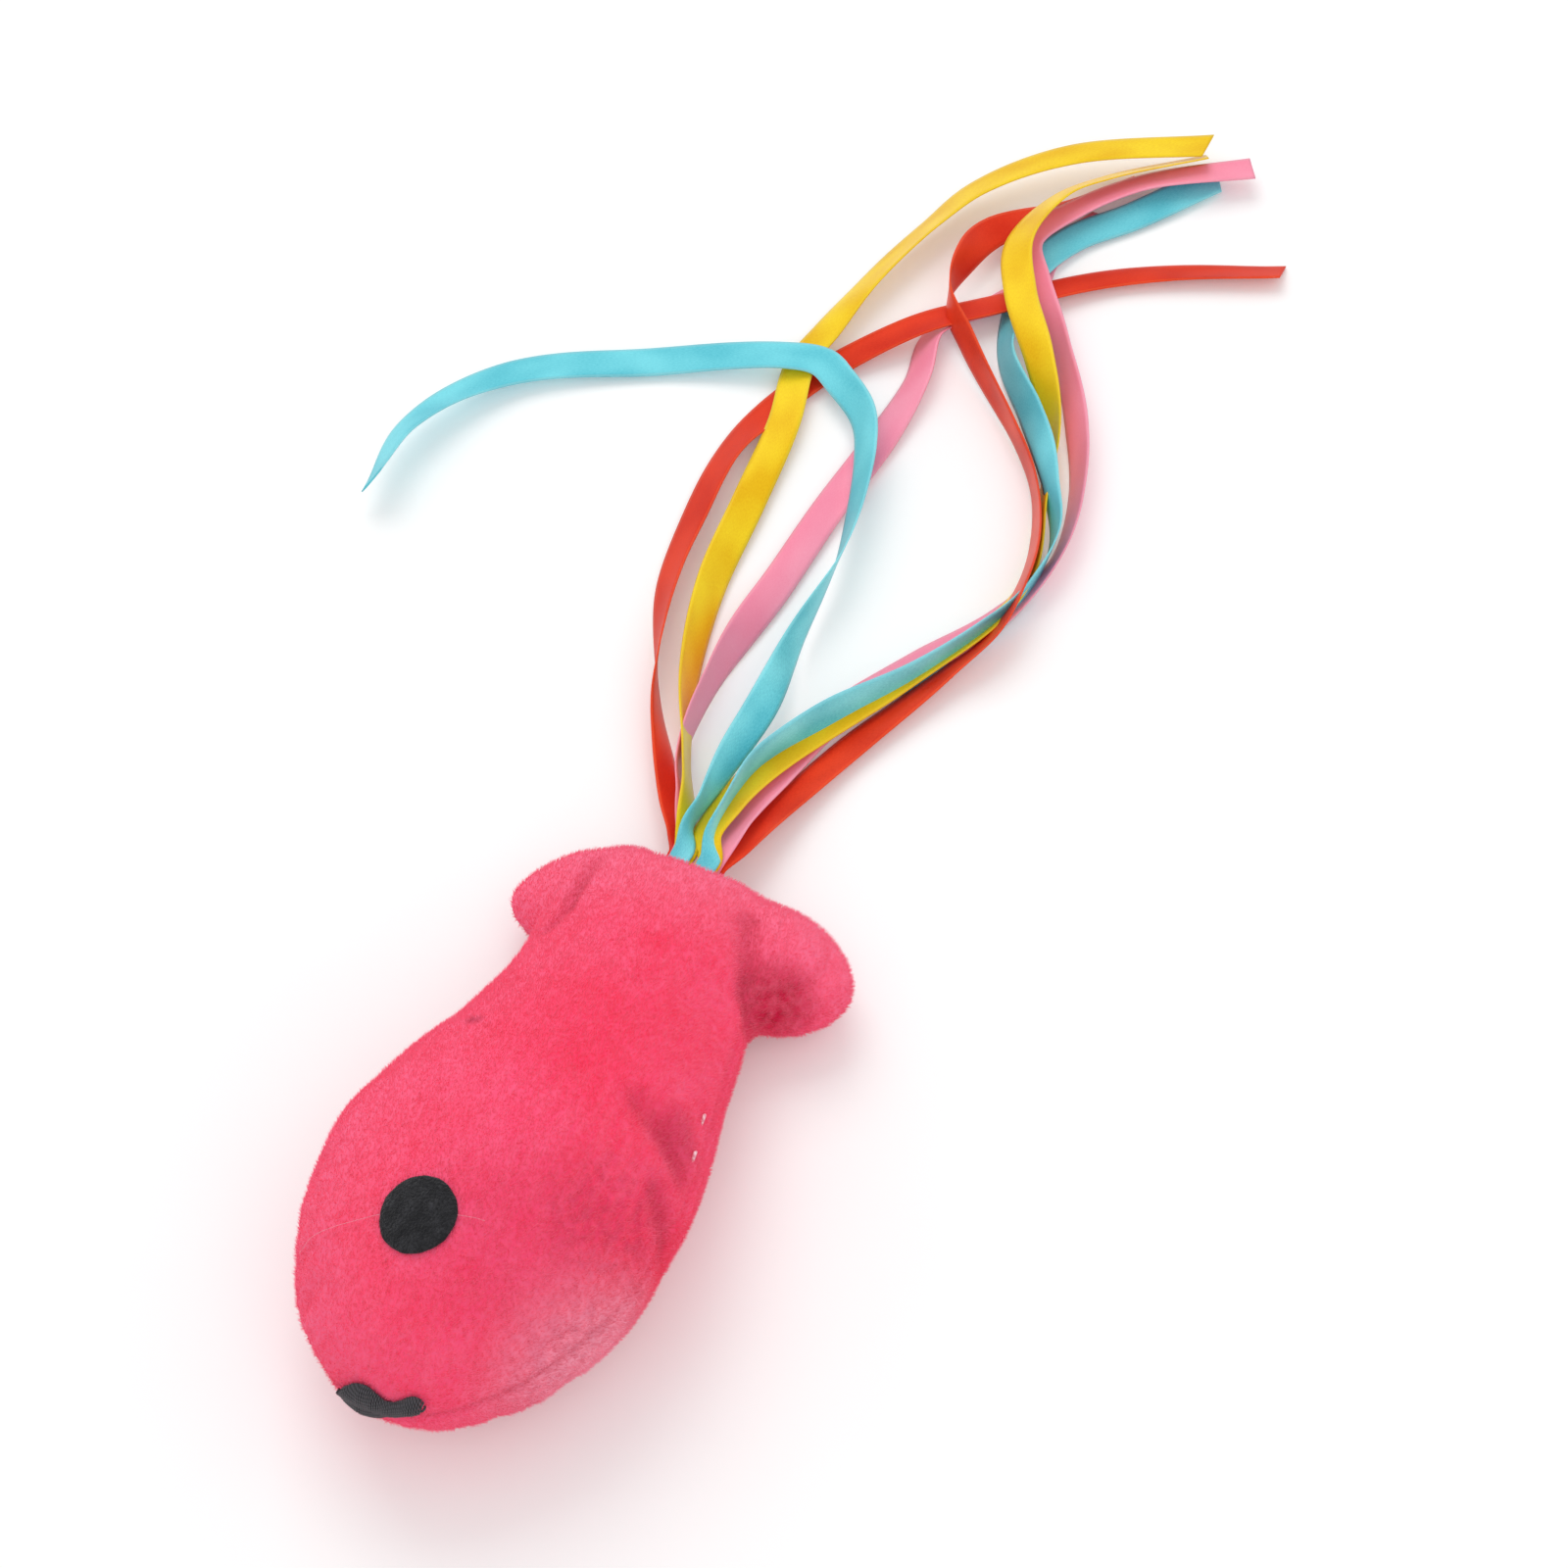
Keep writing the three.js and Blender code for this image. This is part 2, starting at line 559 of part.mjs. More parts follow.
// Routes of the ribbon tails, the left one and the right one of each colour
const routes = {
  red: [
    [
      [7, -6, 5.6, 0], [14, -12, 3.7, 0], [24, -19, 2.2, 0], [38, -26, 2, 20], [56, -33, 3, 55],
      [72, -36, 3, 55], [89, -37, 2.4, 35], [101, -35, 1, 0], [116, -29, 0.7, 0], [131, -19, 0.7, 0],
      [142, -8, 0.7, 0], [158, 10, 0.7, 0], [171, 37, 1.4, 15],
    ],
    [
      [7, 1.5, 6.3, 0], [14, 4, 4.4, 0], [24, 6.5, 2.6, 0], [38, 10.5, 1.2, 0], [59, 19, 0.8, 0],
      [71, 23, 0.8, 0], [80, 23.5, 0.8, 0], [90, 22, 0.8, 0], [105, 14, 1.4, 0], [116, 5, 1.9, 0],
      [130, -9, 2.4, 0], [138, -16, 2.3, 0], [149, -17, 2.3, 0], [157, -15, 2.3, 0], [168, -4, 2.3, 0],
      [182, 8, 2.3, 0],
    ],
  ],
  pink: [
    [
      [7, -5.9, 7, 0], [14, -9.5, 5.2, 0], [24, -15, 3.4, 0], [43, -18, 1.8, 0], [66, -17, 1.4, 0],
      [83, -16, 1.4, 0], [102, -14, 1.4, 0], [119, -14, 1.5, 0], [134, -16, 1.5, 0], [150, -17, 1.5, 0],
      [163, -12, 1.5, 0], [184, 9, 1.5, 0],
    ],
    [
      [7, 0.6, 7.7, 0], [14, -0.5, 6, 0], [24, 1, 4.1, 0], [43, 6, 2.2, 0], [64, 13, 1.6, 0],
      [78, 23, 1.6, 0], [90, 25, 1.8, 0], [106, 22.5, 3.2, 0], [120, 16, 3.9, 0], [135, 6, 3.9, 0],
      [148, -3, 3.9, 0], [157, -8, 3.9, 0], [167, -3, 3.9, 0], [179, 6, 3.9, 0], [191, 20, 3.9, 0],
    ],
  ],
  yellow: [
    [
      [7, -6.2, 8.4, 0], [14, -10, 6.8, 0], [25, -16, 4.9, 0], [40, -22, 3.5, 0], [60, -27, 2.6, 0],
      [80, -29, 2.4, 5], [99, -31, 2.4, 0], [113, -34, 2.4, 0], [122, -33, 2.7, 10], [133, -31, 3.6, 30],
      [154, -26, 4.2, 45], [167, -22, 4.8, 35], [181, -9, 5.8, 10], [194, 13, 5.8, 0],
    ],
    [
      [7, 0.4, 9.1, 0], [14, -1.5, 7.6, 0], [24, -1, 5.5, 0], [39, 4, 3.4, 0], [54, 13, 2.5, 0],
      [74, 21, 2.4, 0], [85, 23, 2.6, 0], [100, 20.5, 4, 0], [117, 13, 4.7, 0], [130, 5, 4.7, 0],
      [143, -4, 4.7, 0], [155, -9, 4.7, 0], [168, -7, 4.7, 0], [177, -1, 4.7, 0], [191, 14, 4.7, 0],
    ],
  ],
  turquoise: [
    [
      [7, -6, 10.5, 0], [14, -6.5, 9.2, 0], [24, -7, 7.8, 0], [39, -7, 6, 5], [54, -8, 5.4, 20],
      [70, -8, 6, 60], [82, -10, 6, 60], [96, -14, 6, 45], [104, -18, 5.6, 15], [110, -25, 5, 0],
      [113, -30, 4.6, 0], [112, -37, 4.2, 0], [103, -58, 2, 0], [88, -81, 3, 20], [68, -90, 6, 60],
      [53, -89, 7.5, 80],
    ],
    [
      [7, 0.4, 9.8, 0], [14, -2.5, 8.4, 0], [24, -3.5, 7, 0], [33, -2.5, 5.6, 0], [43, 3, 4.4, 0],
      [57, 14, 3.3, 0], [70, 20, 3.3, 0], [80, 23, 3.8, -5], [92, 20.2, 6.3, -45], [101, 15.8, 5.5, -90],
      [110, 12.4, 4.3, -130], [118, 8.6, 3.3, -168], [130, 0, 3.1, -180], [140, -6, 3.1, -180],
      [151, -8, 3.1, -180], [164, -2, 3.1, -180], [176, 8, 3.1, -180], [189, 17, 3.1, -180],
    ],
  ],
};

colours.forEach((colour, layer) => {
  add('ribbon_fold_' + colour, foldSolid(layer), satin[colour], 0.4);
  const [left, right] = routes[colour];
  add('ribbon_' + colour + '_left', ribbonTail(layer, -1, left), satin[colour], 0.4);
  add('ribbon_' + colour + '_right', ribbonTail(layer, 1, right), satin[colour], 0.4);
});

// The fish's own box is centred over the origin
const own = new THREE.Box3();
for (const mesh of toy.children) {
  if (!/^ribbon_.*_(left|right)$/.test(mesh.name)) own.expandByObject(mesh);
}
const middle = own.getCenter(new THREE.Vector3());
for (const mesh of toy.children) mesh.geometry.translate(-middle.x, -middle.y, 0);

export default toy;
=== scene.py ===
import math
import random

import bpy
import bmesh
import numpy as np
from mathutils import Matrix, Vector
from mathutils.bvhtree import BVHTree


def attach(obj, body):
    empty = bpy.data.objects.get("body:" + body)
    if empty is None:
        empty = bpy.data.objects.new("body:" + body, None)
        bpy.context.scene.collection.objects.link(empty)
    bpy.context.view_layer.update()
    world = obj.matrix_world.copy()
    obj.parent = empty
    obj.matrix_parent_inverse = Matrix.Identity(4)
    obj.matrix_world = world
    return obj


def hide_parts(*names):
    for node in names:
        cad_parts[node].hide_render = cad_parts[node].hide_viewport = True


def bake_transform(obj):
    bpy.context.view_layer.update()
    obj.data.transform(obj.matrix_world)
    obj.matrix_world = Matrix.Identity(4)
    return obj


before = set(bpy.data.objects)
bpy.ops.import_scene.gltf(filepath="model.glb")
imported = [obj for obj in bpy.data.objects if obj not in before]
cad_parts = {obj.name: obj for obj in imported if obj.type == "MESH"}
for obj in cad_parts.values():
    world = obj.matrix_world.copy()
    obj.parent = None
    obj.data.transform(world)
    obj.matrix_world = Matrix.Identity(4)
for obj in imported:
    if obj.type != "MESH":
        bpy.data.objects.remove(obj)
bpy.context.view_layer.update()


# The surface that the fish lies on is a plain white table top, seen from the snout's side and from
# above. A broad soft lamp stands behind the tail, and a pale room fills the shadows.
AIM = Vector((-0.0758, 0.0034, 0.012))
TOWARDS_CAMERA = Vector((0.53486, 0.24375, 0.80902))
CAMERA_DISTANCE = 0.64
TABLE_HALF_WIDTH = 4.0


def shader(name):
    """A new material, its nodes and the shader that they feed."""
    material = bpy.data.materials.new(name)
    material.use_nodes = True
    return material, material.node_tree, material.node_tree.nodes["Principled BSDF"]


def fed(tree, made, sockets):
    """A node with each of its sockets linked to another node's or given a value."""
    for key, value in sockets.items():
        if isinstance(value, bpy.types.NodeSocket):
            tree.links.new(value, made.inputs[key])
        else:
            made.inputs[key].default_value = value
    return made


def node(tree, kind, sockets=None, **settings):
    """One new node with its settings and its sockets."""
    made = tree.nodes.new(kind)
    for key, value in settings.items():
        setattr(made, key, value)
    return fed(tree, made, sockets or {})


def maths(tree, operation, *values, **settings):
    """The result of one step of arithmetic."""
    return node(tree, "ShaderNodeMath", dict(enumerate(values)), operation=operation,
                **settings).outputs[0]


def ranged(tree, value, low=0.0, high=1.0, to_low=0.0, to_high=1.0, **settings):
    """A value brought from one range into another."""
    sockets = {"Value": value, "From Min": low, "From Max": high, "To Min": to_low, "To Max": to_high}
    return node(tree, "ShaderNodeMapRange", sockets, **settings).outputs[0]


def mixed(tree, share, first, second):
    """A second colour laid over a first where the share is 1."""
    return node(tree, "ShaderNodeMix", {"Factor": share, 6: first, 7: second},
                data_type="RGBA").outputs[2]


def dye(code):
    """A colour written as six hex digits, as a shader takes it."""
    parts = [int(code[i:i + 2], 16) / 255 for i in (0, 2, 4)]
    return (*[p / 12.92 if p <= 0.04045 else ((p + 0.055) / 1.055) ** 2.4 for p in parts], 1)


def mesh_object(name, points, faces):
    """A mesh object at the origin, with its place in its mesh."""
    data = bpy.data.meshes.new(name)
    data.from_pydata([tuple(p) for p in points], [], [tuple(f) for f in faces])
    data.update()
    made = bpy.data.objects.new(name, data)
    bpy.context.collection.objects.link(made)
    return made


camera = bpy.data.objects.new("camera", bpy.data.cameras.new("camera"))
bpy.context.collection.objects.link(camera)
camera.data.lens = 90
camera.data.clip_start = 0.05
camera.location = AIM + CAMERA_DISTANCE * TOWARDS_CAMERA
camera.rotation_euler = TOWARDS_CAMERA.to_track_quat("Z", "Y").to_euler()
bpy.context.scene.camera = camera
bpy.context.scene.view_settings.view_transform = "Standard"

for name, place, size, watts in (
    ("lamp_behind", (-0.55, -0.45, 0.95), 0.8, 4.0),
    ("lamp_front", (0.5, 0.5, 0.9), 0.9, 1.9),
):
    lamp = bpy.data.objects.new(name, bpy.data.lights.new(name, "AREA"))
    bpy.context.collection.objects.link(lamp)
    lamp.data.size = size
    lamp.data.energy = watts
    lamp.location = place
    lamp.rotation_euler = (Vector(place) - AIM).to_track_quat("Z", "Y").to_euler()

world = bpy.data.worlds.new("pale_room")
bpy.context.scene.world = world
world.use_nodes = True
room = world.node_tree


def seen_rays(tree):
    """1 where the camera sees a surface, straight, in a gloss or through glass, and 0 in its light."""
    path = node(tree, "ShaderNodeLightPath")
    glossy = maths(tree, "ADD", path.outputs["Is Glossy Ray"], path.outputs["Is Transmission Ray"])
    return maths(tree, "ADD", path.outputs["Is Camera Ray"], glossy, use_clamp=True)


ROOM_LIGHT = 0.70
SEEN_ROOM = 1.0
glow = ranged(room, seen_rays(room), to_low=ROOM_LIGHT, to_high=SEEN_ROOM)
fed(room, room.nodes["Background"], {"Color": (1, 1, 1, 1), "Strength": glow})

# The lamps light the middle of the table, so the far table is lifted a little more, to stay white
TABLE_LIFT, FAR_TABLE_LIFT = 0.1, 0.36
LIT_REACH, FAR_REACH = 0.4, 1.4
table = mesh_object("table_top", [(x * TABLE_HALF_WIDTH, y * TABLE_HALF_WIDTH, 0)
                                  for x, y in ((-1, -1), (1, -1), (1, 1), (-1, 1))], [(0, 1, 2, 3)])
paint, tree, surface = shader("white_table")
place = node(tree, "ShaderNodeTexCoord").outputs["Object"]
spots = node(tree, "ShaderNodeTexNoise", {"Vector": place, "Scale": 40.0})
outwards = node(tree, "ShaderNodeVectorMath", {0: place}, operation="LENGTH").outputs["Value"]
lift = ranged(tree, outwards, LIT_REACH, FAR_REACH, TABLE_LIFT, FAR_TABLE_LIFT)
fed(tree, surface, {
    "Base Color": mixed(tree, spots.outputs["Fac"], (0.94, 0.94, 0.94, 1), (0.96, 0.96, 0.96, 1)),
    "Roughness": 0.9, "Specular IOR Level": 0.1, "Emission Color": (1, 1, 1, 1),
    "Emission Strength": maths(tree, "MULTIPLY", seen_rays(tree), lift)})
table.data.materials.append(paint)


# The catnip is a loose heap of dried leaf, crumbled into flakes. It fills its cotton pouch, which is
# sewn shut round it, so it is only seen where a seam is opened.
MM = 0.001
SEAM_HEIGHT = 19.5 * MM
POUCH_FORWARD = 8.5 * MM
MIDDLE = Vector((-0.2717 * MM, -1.5613 * MM, 0))
POUCH_MIDDLE = MIDDLE + Vector((POUCH_FORWARD, 0, SEAM_HEIGHT))
POUCH_RADIUS = 15 * MM
POUCH_HALF_THICKNESS = 8 * MM
POUCH_CLOTH = 0.8 * MM
GAP = 0.3 * MM


def new_group(name, kind, takes, gives):
    """A node group with its named inputs and outputs, and the two nodes that hold them."""
    group = bpy.data.node_groups.new(name, kind)
    for label, form, *value in takes:
        socket = group.interface.new_socket(label, in_out="INPUT", socket_type="NodeSocket" + form)
        if value:
            socket.default_value = value[0]
    for label, form in gives:
        group.interface.new_socket(label, in_out="OUTPUT", socket_type="NodeSocket" + form)
    return group, group.nodes.new("NodeGroupInput"), group.nodes.new("NodeGroupOutput")


def soft_noise_group():
    """Uneven spots at two sizes, for cloth, fibre and herb: one mask of each, from 0 to 1."""
    group, start, end = new_group(
        "soft_mottle", "ShaderNodeTree",
        [("Vector", "Vector"), ("Broad Scale", "Float", 60.0), ("Fine Scale", "Float", 900.0)],
        [("Broad", "Float"), ("Fine", "Float")])
    for label, detail in (("Broad", 2.0), ("Fine", 3.0)):
        spots = node(group, "ShaderNodeTexNoise", {"Vector": start.outputs["Vector"],
                                                   "Scale": start.outputs[label + " Scale"],
                                                   "Detail": detail})
        group.links.new(ranged(group, spots.outputs["Fac"], 0.32, 0.68), end.inputs[label])
    return group


SOFT_MOTTLE = soft_noise_group()


def bumped(tree, height, strength, distance):
    """A relief for a shader's Normal."""
    return node(tree, "ShaderNodeBump", {"Height": height, "Strength": strength,
                                         "Distance": distance}).outputs[0]


def mottled(name, dark, light, broad, fine, bump, roughness):
    """A fibrous material: two shades in uneven spots, with a fine rough relief."""
    material, tree, surface = shader(name)
    place = node(tree, "ShaderNodeTexCoord").outputs["Object"]
    spots = node(tree, "ShaderNodeGroup", {"Vector": place, "Broad Scale": broad, "Fine Scale": fine},
                 node_tree=SOFT_MOTTLE).outputs
    both = maths(tree, "MULTIPLY", spots["Broad"], spots["Fine"])
    fed(tree, surface, {"Base Color": mixed(tree, both, dye(dark), dye(light)),
                        "Normal": bumped(tree, spots["Fine"], bump, 0.3 * MM),
                        "Roughness": roughness, "Specular IOR Level": 0.2, "Sheen Weight": 0.3})
    return material, tree, surface


def lens_points(radius, half_height, start, stop, steps, around, ripple):
    """Rings of a lens from one height angle to another, rippled round its rim."""
    rings = []
    for i in range(steps + 1):
        tilt = start + (stop - start) * i / steps
        ring = []
        for j in range(around):
            turn = 2 * math.pi * j / around
            reach = radius * math.cos(tilt) * (1 + ripple * math.cos(tilt) ** 8 * math.sin(14 * turn))
            ring.append((reach * math.cos(turn), reach * math.sin(turn), half_height * math.sin(tilt)))
        rings.append(ring)
    return rings


def ring_faces(count, around):
    """The faces between rings of points, stacked from a low one to a high one."""
    return [(i * around + j, i * around + (j + 1) % around, (i + 1) * around + (j + 1) % around,
             (i + 1) * around + j) for i in range(count - 1) for j in range(around)]


def closed_rings(rings, first_pole, last_pole):
    """Points and outward faces of rings stacked from a low pole to a high one."""
    around = len(rings[0])
    points = [p for ring in rings for p in ring] + [first_pole, last_pole]
    faces = ring_faces(len(rings), around)
    last = (len(rings) - 1) * around
    for j in range(around):
        k = (j + 1) % around
        faces.append((len(points) - 2, k, j))
        faces.append((len(points) - 1, last + j, last + k))
    return points, faces


def smooth(obj):
    obj.data.polygons.foreach_set("use_smooth", [True] * len(obj.data.polygons))


# A lens's last ring lies just short of its pole
POLE_TILT = 1.5
CRUMB_DEPTH = 0.05
heap_radius = POUCH_RADIUS - POUCH_CLOTH - 2 * GAP
heap_top = POUCH_HALF_THICKNESS - POUCH_CLOTH - 2 * GAP
heap_rings = lens_points(heap_radius, heap_top, -POLE_TILT, POLE_TILT, 40, 72, 0)
points, faces = closed_rings(heap_rings, (0, 0, -heap_top), (0, 0, heap_top))
crumbs = random.Random(4)
points = [Vector(p) * (1 - crumbs.uniform(0, CRUMB_DEPTH)) + POUCH_MIDDLE for p in points]
catnip = mesh_object("catnip_flakes", points, faces)
catnip.data.materials.append(mottled("dried_catnip", "3f4a22", "97a05e", 300.0, 1500.0, 1.0, 0.95)[0])
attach(catnip, "fish")
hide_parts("catnip")


# The pouch is two rounds of plain cotton, sewn together round their rims and turned out, so the
# rim is drawn into small puckers. It lies in the middle of the stuffing.
SIDES = ((1, "upper"), (-1, "lower"))
RIM_PUCKER = 0.012
POUCH_STEPS, POUCH_AROUND = 16, 112
cotton = mottled("pouch_cotton", "d9d2c3", "f4f0e8", 90.0, 2600.0, 0.5, 0.9)[0]
for side, label in SIDES:
    span = (0.0, POLE_TILT) if side > 0 else (-POLE_TILT, 0.0)
    outer, inner = [lens_points(POUCH_RADIUS - cloth, POUCH_HALF_THICKNESS - cloth, *span, POUCH_STEPS,
                                POUCH_AROUND, RIM_PUCKER) for cloth in (0, POUCH_CLOTH)]
    rings = inner[::-1] + outer if side > 0 else outer + inner[::-1]
    low = POUCH_HALF_THICKNESS if side < 0 else POUCH_HALF_THICKNESS - POUCH_CLOTH
    high = POUCH_HALF_THICKNESS if side > 0 else POUCH_HALF_THICKNESS - POUCH_CLOTH
    points, faces = closed_rings(rings, (0, 0, side * low), (0, 0, side * high))
    lift = Vector((0, 0, side * GAP / 2)) + POUCH_MIDDLE
    half = mesh_object(f"pouch_{label}_cloth", [Vector(p) + lift for p in points], faces)
    smooth(half)
    half.data.materials.append(cotton)
    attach(half, "fish")
    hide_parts(f"pouch_{label}")


# The stuffing is springy white polyester fibre, pushed into both halves of the fish and packed
# round the pouch. Its outside takes the body's shape and is lumpy under the plush.
BODY_LENGTH = 111 * MM
BODY_HALF_WIDTH = 28 * MM
UPPER_CROWN = 20 * MM
LOWER_CROWN = 20.2 * MM
SEAM_SLOPE = 5 / 28
TAIL_X = -BODY_LENGTH / 2
SNOUT_X = BODY_LENGTH / 2
BACK_SHARES = [(0, 0.5), (0.04, 0.62), (0.12, 0.7), (0.28, 0.69), (0.42, 0.765), (0.54, 0.9),
               (0.66, 1), (1, 1)]
BELLY_SHARES = [(0, 0.5), (0.04, 0.62), (0.12, 0.7), (0.28, 0.77), (0.42, 0.92), (0.54, 1),
                (0.66, 1.04), (1, 1)]
CROWN_SHARES = [(0, 0.42), (0.1, 0.5), (0.26, 0.62), (0.44, 0.86), (0.6, 1), (1, 1)]
SEAM_SHARES = [(0, 0.48), (0.1, 0.49), (0.26, 0.66), (0.44, 0.88), (0.6, 1), (1, 1)]
# The stations where the width and the height round off towards the snout, and how far they do so.
# The height rounds off over the tail's end too, down to a share of itself
SNOUT_FROM, SNOUT_SPAN = 0.64, 0.36
HEAD_FROM, HEAD_SPAN = 0.54, 0.46
TAIL_END, TAIL_END_SHARE = 0.1, 0.08


def along(pairs, station):
    """A smooth curve through pairs of station and value, read at one station."""
    last = len(pairs) - 2
    i = next((k for k in range(last + 1) if station <= pairs[k + 1][0]), last)

    def slope(a, b):
        return (pairs[b][1] - pairs[a][1]) / (pairs[b][0] - pairs[a][0])

    before, after = slope(max(i - 1, 0), i + 1), slope(i, min(i + 2, last + 1))
    span = pairs[i + 1][0] - pairs[i][0]
    t = (station - pairs[i][0]) / span
    blend = pairs[i][1] + (pairs[i + 1][1] - pairs[i][1]) * t * t * (3 - 2 * t)
    return blend + span * t * (1 - t) * (before * (1 - t) - after * t)


def round_end(share):
    return math.sqrt(max(0.0, 1 - share * share))


def section(station, inset):
    """The fish's cross-section at a station from tail to snout, drawn in by an inset."""
    snout = round_end(max(0, (station - SNOUT_FROM) / SNOUT_SPAN))
    head = round_end(max(0, (station - HEAD_FROM) / HEAD_SPAN))
    tail = max(TAIL_END_SHARE, round_end(max(0, 1 - station / TAIL_END)))
    crown = along(CROWN_SHARES, station)
    return {
        "x": TAIL_X + inset + (BODY_LENGTH - 2 * inset) * station,
        "seam": SEAM_HEIGHT * along(SEAM_SHARES, station),
        "back": (BODY_HALF_WIDTH * along(BACK_SHARES, station) - inset) * snout,
        "belly": (BODY_HALF_WIDTH * along(BELLY_SHARES, station) - inset) * snout,
        "upper": (UPPER_CROWN * crown - inset) * head * tail,
        "lower": (LOWER_CROWN * crown - inset) * head * tail,
    }


def point_on(cut, angle):
    """The surface at an angle round a section: 0 is towards the belly, and a quarter turn is up."""
    wide, high = math.cos(angle), math.sin(angle)
    return Vector((cut["x"], wide * cut["belly" if wide > 0 else "back"],
                   cut["seam"] + high * cut["upper" if high > 0 else "lower"]))


def seam_angle(cut, side):
    """Where the seam leaves the plush: side is 1 at the belly and -1 at the back."""
    if side > 0:
        return math.atan2(SEAM_SLOPE * cut["belly"], cut["upper"])
    return math.pi + math.atan2(SEAM_SLOPE * cut["back"], cut["lower"])


FILL_SPAN = (0.112, 0.985)
FILL_INSET = 3.0 * MM
FILL_ROWS, FILL_ACROSS = 70, 48
LUMP_DEPTH = 0.5 * MM
THINNEST_FILL = 0.2 * MM
NEST_DEPTH = POUCH_HALF_THICKNESS + 3 * GAP
NEST_RADIUS = POUCH_RADIUS + 3 * GAP
MERGE = 0.01 * MM
fill_material = mottled("white_fibre_fill", "dcd8cf", "fbfaf6", 160.0, 1800.0, 1.0, 1.0)[0]
for side, label in SIDES:
    outside, inside = [], []
    lumps = random.Random(side + 5)
    phases = [(lumps.uniform(200, 420), lumps.uniform(200, 420), lumps.uniform(0, 6.28))
              for _ in range(5)]
    for i in range(FILL_ROWS + 1):
        station = FILL_SPAN[0] + (FILL_SPAN[1] - FILL_SPAN[0]) * i / FILL_ROWS
        cut = section(station, FILL_INSET)
        first, last = seam_angle(cut, 1), seam_angle(cut, -1)
        if side < 0:
            first, last = last, first + 2 * math.pi
        out_row, in_row = [], []
        for j in range(FILL_ACROSS + 1):
            p = point_on(cut, first + (last - first) * j / FILL_ACROSS)
            base = cut["seam"] + SEAM_SLOPE * p.y + side * GAP
            lump = sum(math.sin(a * p.x + b * p.y + c) for a, b, c in phases) / 5 - 1
            drop = side * LUMP_DEPTH * lump * math.sin(math.pi * j / FILL_ACROSS)
            high = p.z + drop
            if side * (high - base) < 0:
                high = base
            flat = ((p.x - POUCH_FORWARD) ** 2 + p.y ** 2) ** 0.5
            nest = NEST_DEPTH * round_end(min(1, flat / NEST_RADIUS))
            low = base
            if nest > 0 and side * (SEAM_HEIGHT + side * nest - base) > 0:
                low = SEAM_HEIGHT + side * nest
            if side * (high - low) < THINNEST_FILL and 0 < j < FILL_ACROSS:
                low = high - side * THINNEST_FILL
            out_row.append(Vector((p.x, p.y, high)) + MIDDLE)
            in_row.append(Vector((p.x, p.y, low)) + MIDDLE)
        outside.append(out_row)
        inside.append(in_row)
    rings = [out_row + in_row[-2:0:-1] for out_row, in_row in zip(outside, inside)]
    around = len(rings[0])
    points = [p for ring in rings for p in ring]
    faces = ring_faces(FILL_ROWS + 1, around)
    faces.append(tuple(range(around - 1, -1, -1)))
    faces.append(tuple(FILL_ROWS * around + j for j in range(around)))
    fill = mesh_object(f"stuffing_{label}_fibre", points, faces)
    bm = bmesh.new()
    bm.from_mesh(fill.data)
    bmesh.ops.remove_doubles(bm, verts=bm.verts, dist=MERGE)
    bmesh.ops.triangulate(bm, faces=[f for f in bm.faces if len(f.verts) > 4])
    bmesh.ops.recalc_face_normals(bm, faces=bm.faces)
    bm.to_mesh(fill.data)
    bm.free()
    smooth(fill)
    fill.data.materials.append(fill_material)
    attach(fill, "fish")
    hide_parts(f"stuffing_{label}")


# The skin is short-piled pink plush: an upper and a lower panel, sewn together and turned, and a
# stuffed lobe on each side of the tail. Filling it draws creases in at the lobes and the seams.
VOXEL = 0.8 * MM
LOBE_RINGS, LOBE_AROUND = 28, 48
BODY_RINGS, BODY_AROUND = 140, 112
LOBE_SHARES = [(0, 0.95), (0.3, 1.06), (0.63, 0.91), (0.87, 0.75), (1, 0.68)]
# A lobe's last ring lies just short of its tip, and its tip rounds off over a part of its length
LAST_RING, TIP_FROM, TIP_SPAN = 0.995, 0.6, 0.4
# It starts inside the body, at a share of its reach
ROOT_SHARE, FREE_SHARE = 0.3, 0.7
TAIL_SEAM = SEAM_HEIGHT * 0.48
PLUSH_THICKNESS = 1.3 * MM


def lobe_rings(side, reach, length, thickness, from_tail, sweep, droop):
    """Rings of a tail lobe from inside the body to its rounded tip."""
    rings = []
    for i in range(LOBE_RINGS + 1):
        station = LAST_RING * math.sin(math.pi / 2 * i / LOBE_RINGS)
        size = along(LOBE_SHARES, station) * round_end(max(0, (station - TIP_FROM) / TIP_SPAN)) / 2
        middle = TAIL_X + from_tail + length / 2 + sweep * station
        rings.append([(middle - side * math.cos(turn) * length * size,
                       side * reach * (ROOT_SHARE + FREE_SHARE * station),
                       TAIL_SEAM - droop * station + math.sin(turn) * thickness * size)
                      for turn in (2 * math.pi * j / LOBE_AROUND for j in range(LOBE_AROUND))])
    return rings


def average(ring):
    return tuple(sum(p[k] for p in ring) / len(ring) for k in range(3))


def face_outwards(obj):
    """Turns the faces of a closed mesh outwards."""
    bm = bmesh.new()
    bm.from_mesh(obj.data)
    bmesh.ops.recalc_face_normals(bm, faces=bm.faces)
    bm.to_mesh(obj.data)
    bm.free()


